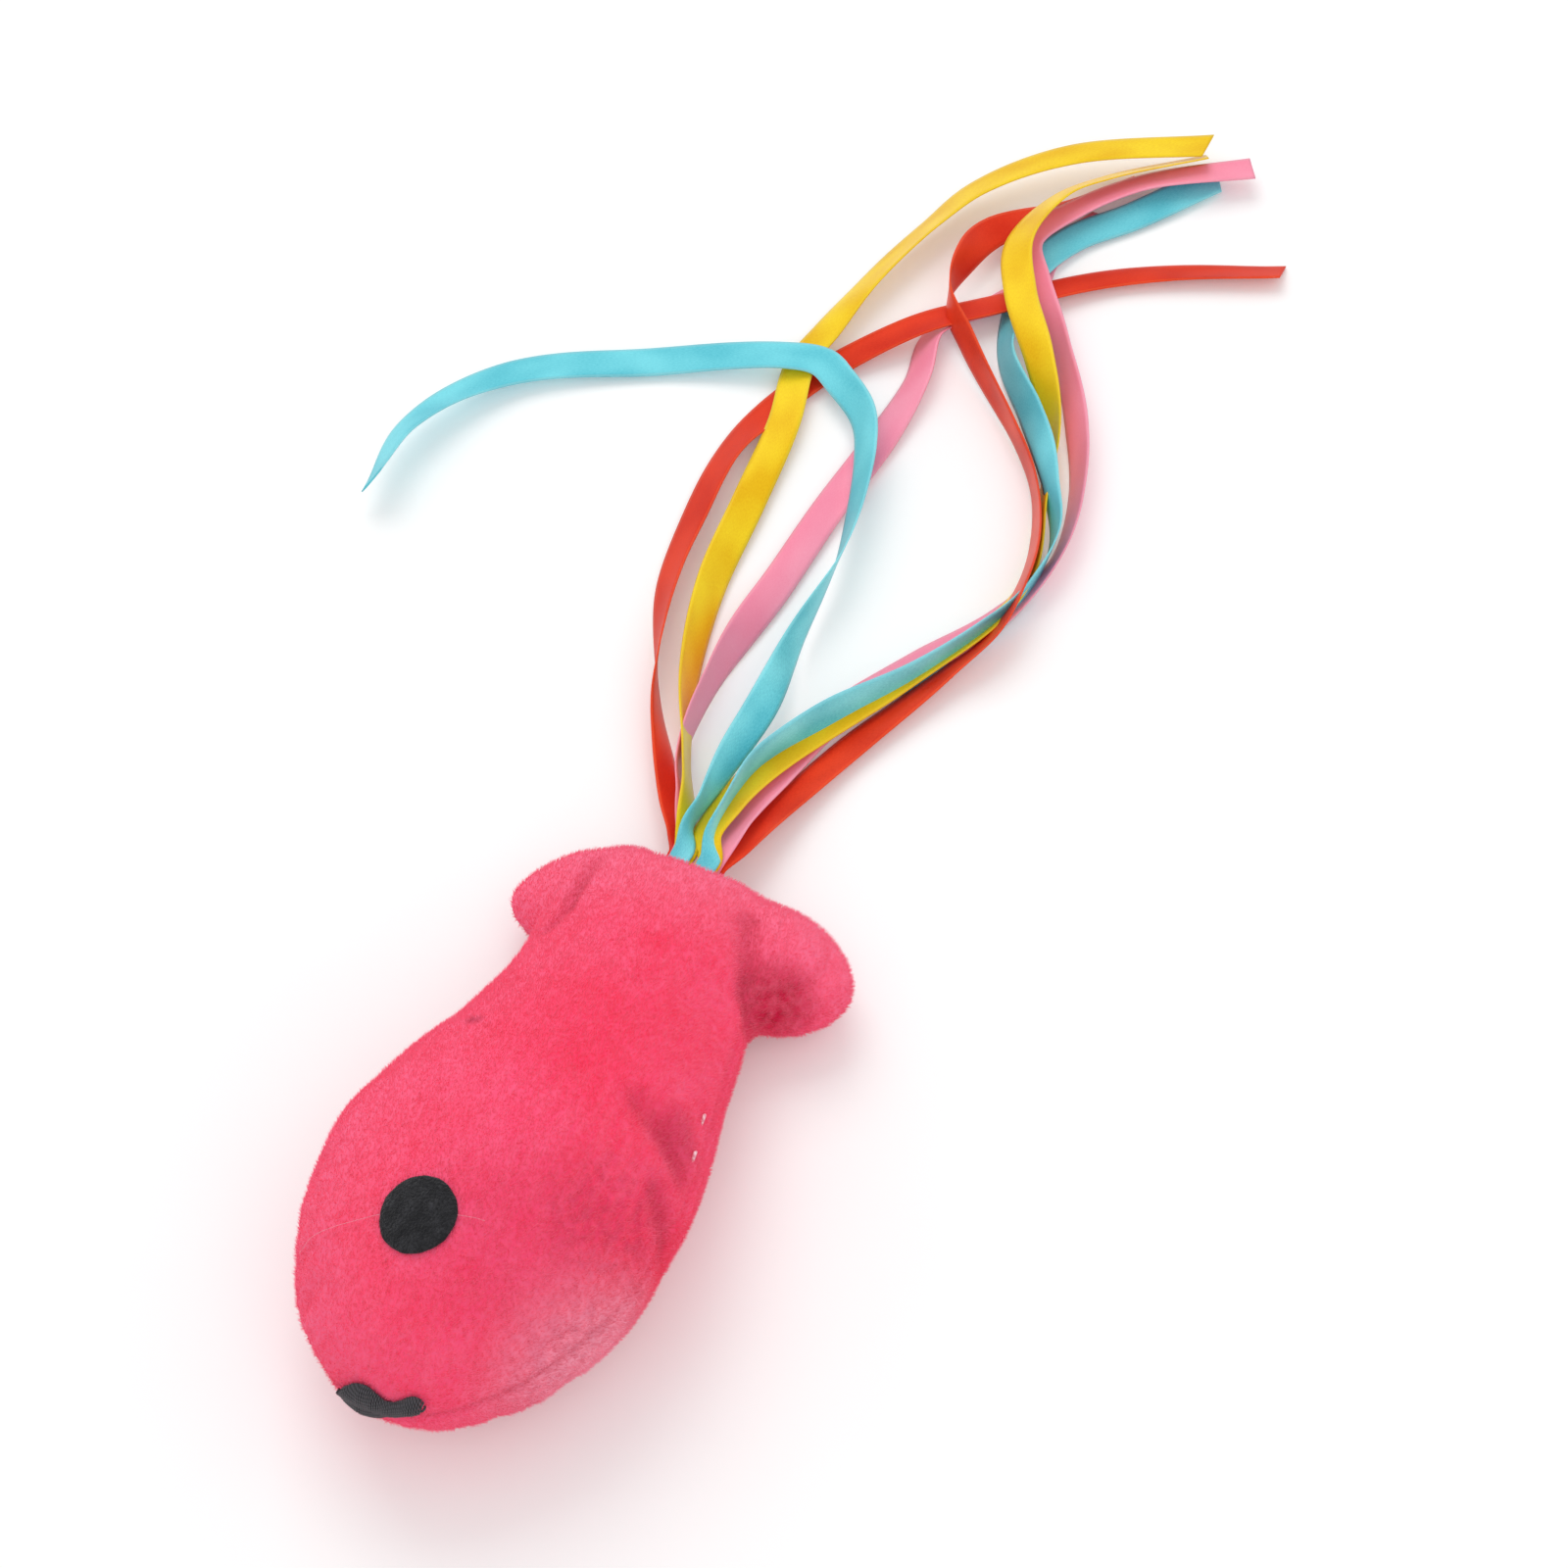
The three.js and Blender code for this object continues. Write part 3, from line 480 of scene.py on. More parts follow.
body_rings = []
for i in range(BODY_RINGS + 1):
    cut = section(min((1 - math.cos(math.pi * i / BODY_RINGS)) / 2, 0.9995), 0)
    body_rings.append([tuple(point_on(cut, 2 * math.pi * j / BODY_AROUND)) for j in range(BODY_AROUND)])
forms = [body_rings,
         lobe_rings(-1, reach=27.5 * MM, length=18.5 * MM, thickness=13 * MM, from_tail=1.5 * MM,
                    sweep=4.5 * MM, droop=1.5 * MM),
         lobe_rings(1, reach=31.5 * MM, length=22 * MM, thickness=15 * MM, from_tail=1.2 * MM,
                    sweep=0.5 * MM, droop=0.5 * MM)]
points, faces = [], []
for rings in forms:
    some, more = closed_rings(rings, average(rings[0]), average(rings[-1]))
    faces += [tuple(v + len(points) for v in f) for f in more]
    points += some
skin = mesh_object("plush_skin", points, faces)
face_outwards(skin)
knit = skin.modifiers.new("voxels", "REMESH")
knit.mode = "VOXEL"
knit.voxel_size = VOXEL


def baked(obj):
    """obj's mesh as its modifiers leave it, with none of them left."""
    drawn = obj.evaluated_get(bpy.context.evaluated_depsgraph_get())
    made = bpy.data.meshes.new_from_object(drawn)
    old = obj.data
    obj.modifiers.clear()
    obj.data = made
    bpy.data.meshes.remove(old)
    made.name = obj.name


def vectors(data, label):
    """The places or the normals of a mesh's points, as an array."""
    flat = np.empty(len(data.vertices) * 3)
    data.vertices.foreach_get(label, flat)
    return flat.reshape(-1, 3)


def put_coordinates(data, co):
    data.vertices.foreach_set("co", np.ascontiguousarray(co, dtype=np.float32).ravel())
    data.update()


def eased(co, edges, share, turns):
    """Each point drawn towards its neighbours, by its own share, several times over."""
    count = np.zeros(len(co))
    np.add.at(count, edges.ravel(), 1)
    for _ in range(turns):
        total = np.zeros_like(co)
        for k in range(3):
            total[:, k] = (np.bincount(edges[:, 0], co[edges[:, 1], k], len(co))
                           + np.bincount(edges[:, 1], co[edges[:, 0], k], len(co)))
        co = co + share[:, None] * (total / count[:, None] - co)
    return co


def stations_of(x):
    return np.clip((x - TAIL_X) / BODY_LENGTH, 0, 1)


TABLE_STATIONS = np.linspace(0, 1, 201)
SEAM_TABLE = np.array([SEAM_HEIGHT * along(SEAM_SHARES, s) for s in TABLE_STATIONS])
BACK_TABLE = np.array([max(section(s, 0)["back"], 0.1 * MM) for s in TABLE_STATIONS])
BELLY_TABLE = np.array([max(section(s, 0)["belly"], 0.1 * MM) for s in TABLE_STATIONS])


def above_seam(co):
    """How far each point stands above the sloped level of the seam."""
    level = np.interp(stations_of(co[:, 0]), TABLE_STATIONS, SEAM_TABLE)
    return co[:, 2] - level - SEAM_SLOPE * co[:, 1]


baked(skin)
edges = np.empty(len(skin.data.edges) * 2, dtype=np.int32)
skin.data.edges.foreach_get("vertices", edges)
edges = edges.reshape(-1, 2)
co = vectors(skin.data, "co")
# The lobes are merged into the body with sharp steps, so they are eased most
LOBE_SEAM = -24 * MM
LOBE_SEAM_SPREAD = 10 * MM
near_lobes = np.clip((LOBE_SEAM - co[:, 0]) / LOBE_SEAM_SPREAD, 0, 1)
co = eased(co, edges, np.full(len(co), 0.5), 3)
co = eased(co, edges, 0.5 * near_lobes, 14)
put_coordinates(skin.data, co)

# The filling swells the skin a little between its seams. This is worked out as cloth at ten times
# the real size
SIM_SCALE = 10
SIM_FRAMES = 20
SEAM_HOLD = 1.6 * MM
LEAST_HOLD = 0.02
PUFF_CAP = 0.9 * MM
start = vectors(skin.data, "co")
put_coordinates(skin.data, start * SIM_SCALE)
pins = skin.vertex_groups.new(name="pins")
hold = np.exp(-(above_seam(start) / SEAM_HOLD) ** 2)
for index, weight in enumerate(hold):
    if weight > LEAST_HOLD:
        pins.add([index], float(weight), "REPLACE")
cloth = skin.modifiers.new("cloth", "CLOTH")
cloth.settings.quality = 4
cloth.settings.mass = 0.25
cloth.settings.use_pressure = True
cloth.settings.uniform_pressure_force = 4
cloth.settings.shrink_min = -0.025
cloth.settings.bending_stiffness = 0.4
cloth.settings.vertex_group_mass = "pins"
cloth.settings.effector_weights.gravity = 0
cloth.point_cache.frame_start = 1
cloth.point_cache.frame_end = SIM_FRAMES
for step in range(1, SIM_FRAMES + 1):
    bpy.context.scene.frame_set(step)
drawn = skin.evaluated_get(bpy.context.evaluated_depsgraph_get())
puffed = vectors(drawn.data, "co") / SIM_SCALE
skin.modifiers.clear()
skin.vertex_groups.clear()
bpy.context.scene.frame_set(1)
move = puffed - start
far = np.linalg.norm(move, axis=1)
move *= (PUFF_CAP * np.tanh(far / PUFF_CAP) / np.maximum(far, 1e-9))[:, None]
co = start + move
co = eased(co, edges, np.full(len(co), 0.4), 2)
put_coordinates(skin.data, co)

rounder = skin.modifiers.new("rounder", "SUBSURF")
rounder.levels = rounder.render_levels = 1
baked(skin)


def off_line(co, line):
    """Each point's distance from a line of points."""
    best = np.full(len(co), 1.0)
    for a, b in zip(line[:-1], line[1:]):
        a, b = np.array(a), np.array(b)
        t = np.clip(((co - a) @ (b - a)) / ((b - a) @ (b - a)), 0, 1)
        best = np.minimum(best, np.linalg.norm(co - a - t[:, None] * (b - a), axis=1))
    return best


def spot(from_snout, y, z):
    """A place on the plush, given as it was measured: from the snout, across and up, in millimetres."""
    return (SNOUT_X - from_snout * MM, y * MM, z * MM)


# The folds of the filled skin: each one's line, depth, width and height of its banks, in millimetres
CREASES = [
    ([(54.6, 16.2, 33.7), (52.6, 20.4, 31.3), (50.2, 24.6, 28.6), (49.6, 26, 27)], 0.9, 2.2, 0.3),
    ([(43.5, 23.7, 30.5), (42.3, 25.1, 29.4), (40.4, 27.8, 26.0), (39.6, 29.0, 21.5)], 0.6, 2.2, 0.1),
    ([(102.5, -14.8, 14.5), (95.8, -14.9, 16.9), (90.7, -14.9, 18.3), (85.5, -15.2, 19.4)],
     1.1, 1.6, 0.25),
    ([(100.5, 12.6, 16.9), (94, 16, 16.5), (88.5, 18.0, 16.5), (84.3, 20.4, 14.0), (82, 21.5, 10)],
     1.1, 1.9, 0.25),
]
# Its hollows: each one's middle, depth and reach
HOLLOWS = [((60.5, 25.5, 25.5), 0.6, 5.0), ((52.5, 20.5, 32.0), 0.5, 5.0), ((40, 28.8, 21), 1.7, 5.0),
           ((69, 24.5, 19), 0.7, 6.0)]
PILE_ROOM = 0.4 * MM
GROOVE_DEPTH, GROOVE_WIDTH = 0.3 * MM, 0.9 * MM
GROOVE_BANK, BANK_AWAY, BANK_WIDTH = 0.08 * MM, 2.4 * MM, 1.4 * MM
LUMP_HEIGHT, LUMPS, LUMP_PITCHES = 0.055 * MM, 14, (180, 520)


def bell(distance, width):
    """1 at a line or place, falling off over a width."""
    return np.exp(-(distance / width) ** 2)


co = vectors(skin.data, "co")
normals = vectors(skin.data, "normal")
push = np.full(len(co), -PILE_ROOM)
# fold is a mask of painted shade along the creases and the seam's groove, which darkens the plush's
# colour
fold = np.zeros(len(co))
for line, depth, width, bank in CREASES:
    far = off_line(co, [spot(*p) for p in line])
    fold = np.maximum(fold, bell(far, 1.1 * width * MM))
    push -= depth * MM * bell(far, width * MM)
    push += bank * MM * bell(far - 2.1 * width * MM, 1.3 * width * MM)
for place, depth, width in HOLLOWS:
    push -= depth * MM * bell(np.linalg.norm(co - np.array(spot(*place)), axis=1), width * MM)
rise = above_seam(co)
open_end = np.clip((co[:, 0] - TAIL_X - 1 * MM) / (5 * MM), 0, 1)
push -= GROOVE_DEPTH * bell(rise, GROOVE_WIDTH) * open_end
push += GROOVE_BANK * bell(np.abs(rise) - BANK_AWAY, BANK_WIDTH) * open_end
snout_end = np.clip((co[:, 0] - 20 * MM) / (15 * MM), 0, 1)
# The seam's groove is painted into the same shade, more towards the snout
fold = np.maximum(fold, (0.15 + 0.35 * snout_end) * bell(rise, GROOVE_WIDTH) * open_end)
crease_shade = skin.data.attributes.new("fold", "FLOAT", "POINT")
crease_shade.data.foreach_set("value", fold.astype(np.float32))
waves = random.Random(11)
for _ in range(LUMPS):
    direction = np.array([waves.gauss(0, 1) for _ in range(3)])
    direction *= waves.uniform(*LUMP_PITCHES) / np.linalg.norm(direction)
    push += LUMP_HEIGHT * np.sin(co @ direction + waves.uniform(0, 6.28))
co = co + normals * push[:, None]

# The tail seam opens over the ribbons, so that they can swing and lift between its lips
RIBBONS_FROM_MIDDLE = -2.5 * MM
LIP_HALF_WIDTH = 8.2 * MM
LIP_LIFT = 1.75 * MM
UPPER_LIP_BACK, LOWER_LIP_BACK = 2.0 * MM, 0.4 * MM
rise = above_seam(co)
beside = np.abs(co[:, 1] - RIBBONS_FROM_MIDDLE) / LIP_HALF_WIDTH
lips = (np.exp(-np.maximum(0, beside - 0.55) ** 2 / 0.1)
        * np.clip((TAIL_X + 7 * MM - co[:, 0]) / (6 * MM), 0, 1))
upper = rise > 0
co[:, 2] += np.where(upper, LIP_LIFT, -LIP_LIFT) * lips * np.exp(-np.abs(rise) / (5 * MM))
co[:, 0] += (np.where(upper, UPPER_LIP_BACK, LOWER_LIP_BACK) * lips
             * np.clip((TAIL_X + 5 * MM - co[:, 0]) / (5 * MM), 0, 1))
# The toy's weight presses its lowest skin flat on the table
FLAT_FLOOR = 0.12 * MM
FLAT_BELOW, FLAT_FROM = 1.2 * MM, -0.6 * MM
pressed = FLAT_FLOOR + (np.maximum(co[:, 2], FLAT_FROM) - FLAT_FROM) * 0.6
co[:, 2] = np.where(co[:, 2] < FLAT_BELOW, pressed, co[:, 2])
put_coordinates(skin.data, co)


LOBE_ROOT = 0.93 * BODY_HALF_WIDTH
LOBE_FRONT = -31 * MM
NARROWEST = 8 * MM
ON_CUT = 0.02 * MM


def straight(bm, way):
    """Moves each point so that the seam is level at 0 and the body equally wide, or back again."""
    for v in bm.verts:
        s = min(max((v.co.x - TAIL_X) / BODY_LENGTH, 0), 1)
        widths = BELLY_TABLE if v.co.y > 0 else BACK_TABLE
        wide = max(float(np.interp(s, TABLE_STATIONS, widths)), NARROWEST) / BODY_HALF_WIDTH
        level = float(np.interp(s, TABLE_STATIONS, SEAM_TABLE))
        if way > 0:
            v.co.z -= level + SEAM_SLOPE * v.co.y
            v.co.y /= wide
        else:
            v.co.y *= wide
            v.co.z += level + SEAM_SLOPE * v.co.y


def piece_of(label, keep):
    """The part of the skin that keep() chooses, cut along the seam and the lobes' roots."""
    made = skin.copy()
    made.data = skin.data.copy()
    made.name = label
    made.data.name = label
    bpy.context.collection.objects.link(made)
    bm = bmesh.new()
    bm.from_mesh(made.data)
    straight(bm, 1)
    for place, direction in (((0, 0, 0), (0, 0, 1)), ((0, LOBE_ROOT, 0), (0, 1, 0)),
                             ((0, -LOBE_ROOT, 0), (0, 1, 0))):
        near = bm.verts[:] + bm.edges[:] + bm.faces[:]
        bmesh.ops.bisect_plane(bm, geom=near, dist=ON_CUT, plane_co=place, plane_no=direction)
    drop = [f for f in bm.faces if not keep(f.calc_center_median())]
    bmesh.ops.delete(bm, geom=drop, context="FACES")
    straight(bm, -1)
    bm.to_mesh(made.data)
    bm.free()
    return made


def in_lobe(c, side):
    return c.x < LOBE_FRONT and side * c.y > LOBE_ROOT


panels = {
    "upper": piece_of("plush_upper_panel", lambda c: c.z > 0 and not in_lobe(c, 1)
                      and not in_lobe(c, -1)),
    "lower": piece_of("plush_lower_panel", lambda c: c.z < 0 and not in_lobe(c, 1)
                      and not in_lobe(c, -1)),
    "back": piece_of("tail_lobe_back_plush", lambda c: in_lobe(c, -1)),
    "belly": piece_of("tail_lobe_belly_plush", lambda c: in_lobe(c, 1)),
}
surface_tree = BVHTree.FromObject(skin, bpy.context.evaluated_depsgraph_get())
bpy.data.objects.remove(skin)

# The plush's dye is pink, with painted shade at the pile's roots and painted sheen at its tips. Painted
# highlight makes it paler towards the back, the tail and the belly's low rim, where crushed pile
# blotches it, and painted shade darkens it under the lobe, beside the pucker and along the creases and
# the seam.
plush, tree, surface = shader("pink_plush")
place = node(tree, "ShaderNodeTexCoord").outputs["Object"]
spots = node(tree, "ShaderNodeGroup", {"Vector": place, "Broad Scale": 70.0, "Fine Scale": 560.0},
             node_tree=SOFT_MOTTLE).outputs


def near(from_snout, y, z, reach):
    """A soft round mask about a place on the plush, with its reach in millimetres."""
    middle = Vector(spot(from_snout, y, z)) + MIDDLE
    far = node(tree, "ShaderNodeVectorMath", {0: place, 1: middle}, operation="DISTANCE")
    return ranged(tree, far.outputs["Value"], 0.25 * reach * MM, reach * MM, 1.0, 0.0,
                  interpolation_type="SMOOTHSTEP")


def times(first, second):
    return maths(tree, "MULTIPLY", first, second)


def kept_value(label):
    return node(tree, "ShaderNodeAttribute", attribute_name=label).outputs["Fac"]


brushed = node(tree, "ShaderNodeMapping", {"Vector": place, "Rotation": (0, 0, 0.45),
                                           "Scale": (230, 800, 500)}).outputs[0]
streaks = node(tree, "ShaderNodeTexNoise", {"Vector": brushed, "Scale": 1.0, "Detail": 2.0})
nap = ranged(tree, streaks.outputs["Fac"], 0.3, 0.72)
split = node(tree, "ShaderNodeSeparateXYZ", {0: place}).outputs
sheen_and_crush = near(17, 27, 20, 22)
under_lobe_shade = near(90.8, 21.6, 13.6, 9)
pink = mixed(tree, spots["Broad"], dye("fd426a"), dye("ff5a84"))
# Each tint's mask, its share and its colour, one laid over another
for mask, share, code in [
    (nap, 0.4, "ff7395"),
    # Painted highlight: paler towards the back and towards the tail
    (ranged(tree, split["Y"], 2 * MM, -27 * MM), 0.6, "ff7c9e"),
    (ranged(tree, split["X"], -34 * MM, -58 * MM), 0.8, "ff8eac"),
    (near(66, 6, 38, 22), 0.35, "fd3560"),
    (near(26, 10, 36, 20), 0.3, "e5406a"),
    (times(near(36, 20, 32, 14), spots["Fine"]), 0.4, "c23a5e"),
    # Painted sheen at the belly's low side, blotched with darker specks of crushed pile
    (sheen_and_crush, 0.75, "ffa4bc"),
    (times(sheen_and_crush, spots["Fine"]), 0.45, "cf5a79"),
    # Painted highlight at the belly's low rim, as light thrown up from the table
    (near(20, 32, 14, 20), 0.62, "ffb0c2"),
    # Painted shade beside the pucker's crease
    (near(54.7, 23, 29.6, 7), 0.38, "be2449"),
    # Painted shade under the belly lobe, mottled with paler specks
    (under_lobe_shade, 0.9, "cc1240"),
    (times(under_lobe_shade, spots["Fine"]), 0.3, "ff8ba6"),
    # Painted shade along the creases and the seam's groove
    (kept_value("fold"), 0.38, "c62c50"),
    (near(58.2, -12.9, 32.9, 2.0), 0.5, "b32c4e"),
    # Painted shade deep at the pile's roots and painted sheen at its tips
    (kept_value("tip"), 0.3, "ff92ac"),
    (ranged(tree, kept_value("strand"), 0.6, 1.25), 0.16, "ff9db4"),
]:
    pink = mixed(tree, times(mask, share), pink, dye(code))
fed(tree, surface, {
    "Base Color": pink, "Normal": bumped(tree, maths(tree, "ADD", spots["Fine"], nap), 0.4, 0.2 * MM),
    "Roughness": 0.9, "Specular IOR Level": 0.1, "Sheen Weight": 0.35, "Sheen Roughness": 0.4,
    "Sheen Tint": dye("ff9ab4")})


# The pile is a dense coat of short fine fibres, laid over towards the tail, that hides the cloth
# under it. It is set along every panel by one rule, so each panel gets its own coat.
PILE_LENGTH = 0.8 * MM
PILE_WIDTH = 0.13 * MM
PILE_DENSITY, QUICK_DENSITY = 8.0e6, 3.0e6
LOWEST_PILE = 0.05 * MM
# The way that the pile leans, how far one fibre strays from it, and the shares of its length
PILE_LEANS = (-0.85, 0.3, 0.0)
PILE_WANDER = ((-0.55, -0.55, -0.25), (0.55, 0.55, 0.35))
PILE_SIZES = (0.6, 1.25)
PANEL_NODES = {"upper": "plush_upper", "lower": "plush_lower", "back": "tail_lobe_back",
               "belly": "tail_lobe_belly"}


def kept(group, geometry, label, value, domain="POINT"):
    """Geometry with a value kept on it under a name."""
    return node(group, "GeometryNodeStoreNamedAttribute", {"Geometry": geometry, "Name": label,
                                                           "Value": value},
                data_type="FLOAT", domain=domain).outputs[0]


def dressed(group, geometry, start, end):
    """Ends a tree: its instances are made real, in the material that it was given."""
    real = node(group, "GeometryNodeRealizeInstances", {"Geometry": geometry})
    coat = node(group, "GeometryNodeSetMaterial", {"Geometry": real.outputs[0],
                                                   "Material": start.outputs["Material"]})
    group.links.new(coat.outputs[0], end.inputs[0])
    return group


def pile_tree():
    """Fibres spread over a surface, leaning towards the tail, each with its own length and shade."""
    group, start, end = new_group(
        "plush_pile", "GeometryNodeTree",
        [("Geometry", "Geometry"), ("Density", "Float", PILE_DENSITY), ("Length", "Float", PILE_LENGTH),
         ("Width", "Float", PILE_WIDTH), ("Lean", "Float", 1.0), ("Seed", "Int", 1),
         ("Material", "Material")], [("Geometry", "Geometry")])
    asked = start.outputs
    spread = node(group, "GeometryNodeDistributePointsOnFaces", {
        "Mesh": asked["Geometry"], "Density": asked["Density"], "Seed": asked["Seed"]},
        distribute_method="RANDOM").outputs
    cone = node(group, "GeometryNodeMeshCone", {"Vertices": 3, "Radius Top": 0.0, "Radius Bottom": 0.5,
                                                "Depth": 1.0}, fill_type="NGON")
    here = node(group, "GeometryNodeInputPosition").outputs[0]
    height = node(group, "ShaderNodeSeparateXYZ", {0: here})
    fibre = kept(group, cone.outputs["Mesh"], "tip", height.outputs["Z"])
    wander = node(group, "FunctionNodeRandomValue", {0: PILE_WANDER[0], 1: PILE_WANDER[1],
                                                     "Seed": asked["Seed"]}, data_type="FLOAT_VECTOR")
    lean = node(group, "ShaderNodeVectorMath", {0: PILE_LEANS, "Scale": asked["Lean"]},
                operation="SCALE")
    upright = node(group, "ShaderNodeVectorMath", {0: spread["Normal"], 1: lean.outputs[0]},
                   operation="ADD")
    loose = node(group, "ShaderNodeVectorMath", {0: upright.outputs[0], 1: wander.outputs[0]},
                 operation="ADD")
    turn = node(group, "FunctionNodeAlignRotationToVector", {"Vector": loose.outputs[0]}, axis="Z")
    size = node(group, "FunctionNodeRandomValue", {2: PILE_SIZES[0], 3: PILE_SIZES[1],
                                                   "Seed": asked["Seed"]}, data_type="FLOAT").outputs[1]
    scale = node(group, "ShaderNodeCombineXYZ", {"X": asked["Width"], "Y": asked["Width"],
                                                 "Z": maths(group, "MULTIPLY", size, asked["Length"])})
    planted = node(group, "GeometryNodeInstanceOnPoints", {
        "Points": spread["Points"], "Instance": fibre, "Rotation": turn.outputs[0],
        "Scale": scale.outputs[0]})
    return dressed(group, kept(group, planted.outputs[0], "strand", size, "INSTANCE"), start, end)


def socket_id(group, label):
    return next(i.identifier for i in group.interface.items_tree
                if i.name == label and i.in_out == "INPUT")


def grown(name, source, group, values):
    """What a tree makes from a source mesh, as a plain mesh object of its own."""
    made = bpy.data.objects.new(name, source.data.copy())
    bpy.context.collection.objects.link(made)
    maker = made.modifiers.new("maker", "NODES")
    maker.node_group = group
    for label, value in values.items():
        maker[socket_id(group, label)] = value
    baked(made)
    return made


PILE = pile_tree()
for seed, (label, panel) in enumerate(panels.items(), 1):
    smooth(panel)
    panel.data.materials.clear()
    panel.data.materials.append(plush)
    whole = PANEL_NODES[label]
    density = PILE_DENSITY
    coat = grown(whole + "_pile", panel, PILE, {"Density": density, "Seed": seed, "Material": plush})
    laid = vectors(coat.data, "co") + np.array(MIDDLE)
    laid[:, 2] = np.maximum(laid[:, 2], LOWEST_PILE)
    put_coordinates(coat.data, laid)
    put_coordinates(panel.data, vectors(panel.data, "co") + np.array(MIDDLE))
    wall = panel.modifiers.new("wall", "SOLIDIFY")
    wall.thickness = PLUSH_THICKNESS
    wall.offset = -1
    baked(panel)
    for piece in (panel, coat):
        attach(piece, "fish")
    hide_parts(whole)


# The eyes are flat discs of black felt, glued to the plush on both sides of the head. Their cut
# edges are a little fuzzy, and the upper one has a light scratch across it.
EYE_RADIUS = 5.7 * MM
EYE_THICKNESS = 0.9 * MM
EYE_X, EYE_Y = SNOUT_X - 23.1 * MM, -3.6 * MM
EYE_AROUND = 96
# The disc's outline from its top's middle to its underside's: shares of its radius and its thickness
EYE_PROFILE = [(0.2, 1.0), (0.4, 1.0), (0.6, 1.0), (0.8, 0.98), (0.92, 0.92), (0.98, 0.75), (1.0, 0.5),
               (0.985, 0.2), (0.95, 0.0), (0.5, -0.1)]
EYE_SINKS = 0.1
SCRATCH_DEPTH, SCRATCH_HALF_WIDTH, SCRATCH_AWAY = 0.12 * MM, 0.25 * MM, 1.2 * MM
SCRATCH_WAY, SCRATCH_REACH = (0.53, 0.85), 0.7
felt, tree, surface = mottled("black_felt", "1d1d20", "3c3c40", 500.0, 2600.0, 0.8, 0.95)
surface.inputs["Sheen Weight"].default_value = 0.12


def on_skin(x, y, side, lift):
    """The plush's surface over or under a place, lifted off it along its own slope."""
    start = Vector((x, y, SEAM_HEIGHT + side * BODY_LENGTH))
    place, slope, _, _ = surface_tree.ray_cast(start, Vector((0, 0, -side)))
    if place is None:
        place, slope, _, _ = surface_tree.find_nearest(Vector((x, y, SEAM_HEIGHT)))
    return place + lift * slope


for side, label in SIDES:
    wobble = random.Random(3)
    bumps = [(n, wobble.uniform(0, 6.28), wobble.uniform(0.002, 0.006)) for n in (2, 3, 5, 7, 11, 17)]
    rings = []
    for share, high in EYE_PROFILE:
        ring = []
        for j in range(EYE_AROUND):
            turn = 2 * math.pi * j / EYE_AROUND
            edge = 1 + sum(size * math.sin(n * turn + phase) for n, phase, size in bumps)
            x = EYE_X + EYE_RADIUS * share * edge * math.cos(turn)
            y = EYE_Y + EYE_RADIUS * share * edge * math.sin(turn)
            lift = EYE_THICKNESS * high
            scratch = abs((x - EYE_X) * SCRATCH_WAY[0] + (y - EYE_Y) * SCRATCH_WAY[1] - SCRATCH_AWAY)
            on_top = side > 0 and high > 0 and share < SCRATCH_REACH
            if on_top and scratch < SCRATCH_HALF_WIDTH:
                lift -= SCRATCH_DEPTH
            ring.append(on_skin(x, y, side, lift))
        rings.append(ring)
    first = on_skin(EYE_X, EYE_Y, side, EYE_THICKNESS)
    last = on_skin(EYE_X, EYE_Y, side, -EYE_SINKS * EYE_THICKNESS)
    points, faces = closed_rings(rings, first, last)
    eye = mesh_object(f"eye_{label}_felt", [Vector(p) + MIDDLE for p in points], faces)
    face_outwards(eye)
    smooth(eye)
    eye.data.materials.append(felt)
    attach(eye, "fish")
    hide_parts(f"eye_{label}")


# The mouth is a band of charcoal embroidery round the front of the snout: satin stitches laid side
# by side across a padded core, thick at the back's end and thin towards the belly.
def thread_tree():
    """Thread laid along lines: a round strand of one radius, with where it runs kept for its twist."""
    group, start, end = new_group(
        "laid_thread", "GeometryNodeTree",
        [("Geometry", "Geometry"), ("Radius", "Float", 0.2 * MM), ("Sides", "Int", 8),
         ("Material", "Material")], [("Geometry", "Geometry")])
    line = node(group, "GeometryNodeMeshToCurve", {"Mesh": start.outputs["Geometry"]})
    run = node(group, "GeometryNodeSplineParameter")
    ring = node(group, "GeometryNodeCurvePrimitiveCircle", {"Resolution": start.outputs["Sides"],
                                                            "Radius": start.outputs["Radius"]})
    around = node(group, "GeometryNodeSplineParameter")
    tube = node(group, "GeometryNodeCurveToMesh", {
        "Curve": kept(group, line.outputs[0], "run", run.outputs["Length"]),
        "Profile Curve": kept(group, ring.outputs[0], "turn", around.outputs["Factor"]),
        "Fill Caps": True})
    return dressed(group, tube.outputs[0], start, end)


THREAD = thread_tree()


def thread_twist_group():
    """The slanting plies of a spun thread: 0 between them and 1 on their crowns."""
    group, start, end = new_group("thread_twist", "ShaderNodeTree",
                                  [("Plies per Metre", "Float", 1800.0)], [("Ply", "Float")])
    run, turn = [node(group, "ShaderNodeAttribute", attribute_name=label).outputs["Fac"]
                 for label in ("run", "turn")]
    turns = maths(group, "ADD", maths(group, "MULTIPLY", run, start.outputs[0]), turn)
    wave = maths(group, "SINE", maths(group, "MULTIPLY", turns, 2 * math.pi))
    group.links.new(ranged(group, wave, -1.0), end.inputs["Ply"])
    return group


THREAD_TWIST = thread_twist_group()


def spun(name, dark, light, plies, roughness):
    """A spun thread's material."""
    material, tree, surface = shader(name)
    ply = node(tree, "ShaderNodeGroup", {"Plies per Metre": plies},
               node_tree=THREAD_TWIST).outputs["Ply"]
    # Painted shade between the plies and painted highlight on their crowns, over a relief of the same
    # plies
    fed(tree, surface, {"Base Color": mixed(tree, ply, dye(dark), dye(light)),
                        "Normal": bumped(tree, ply, 0.5, 0.1 * MM), "Roughness": roughness})
    return material


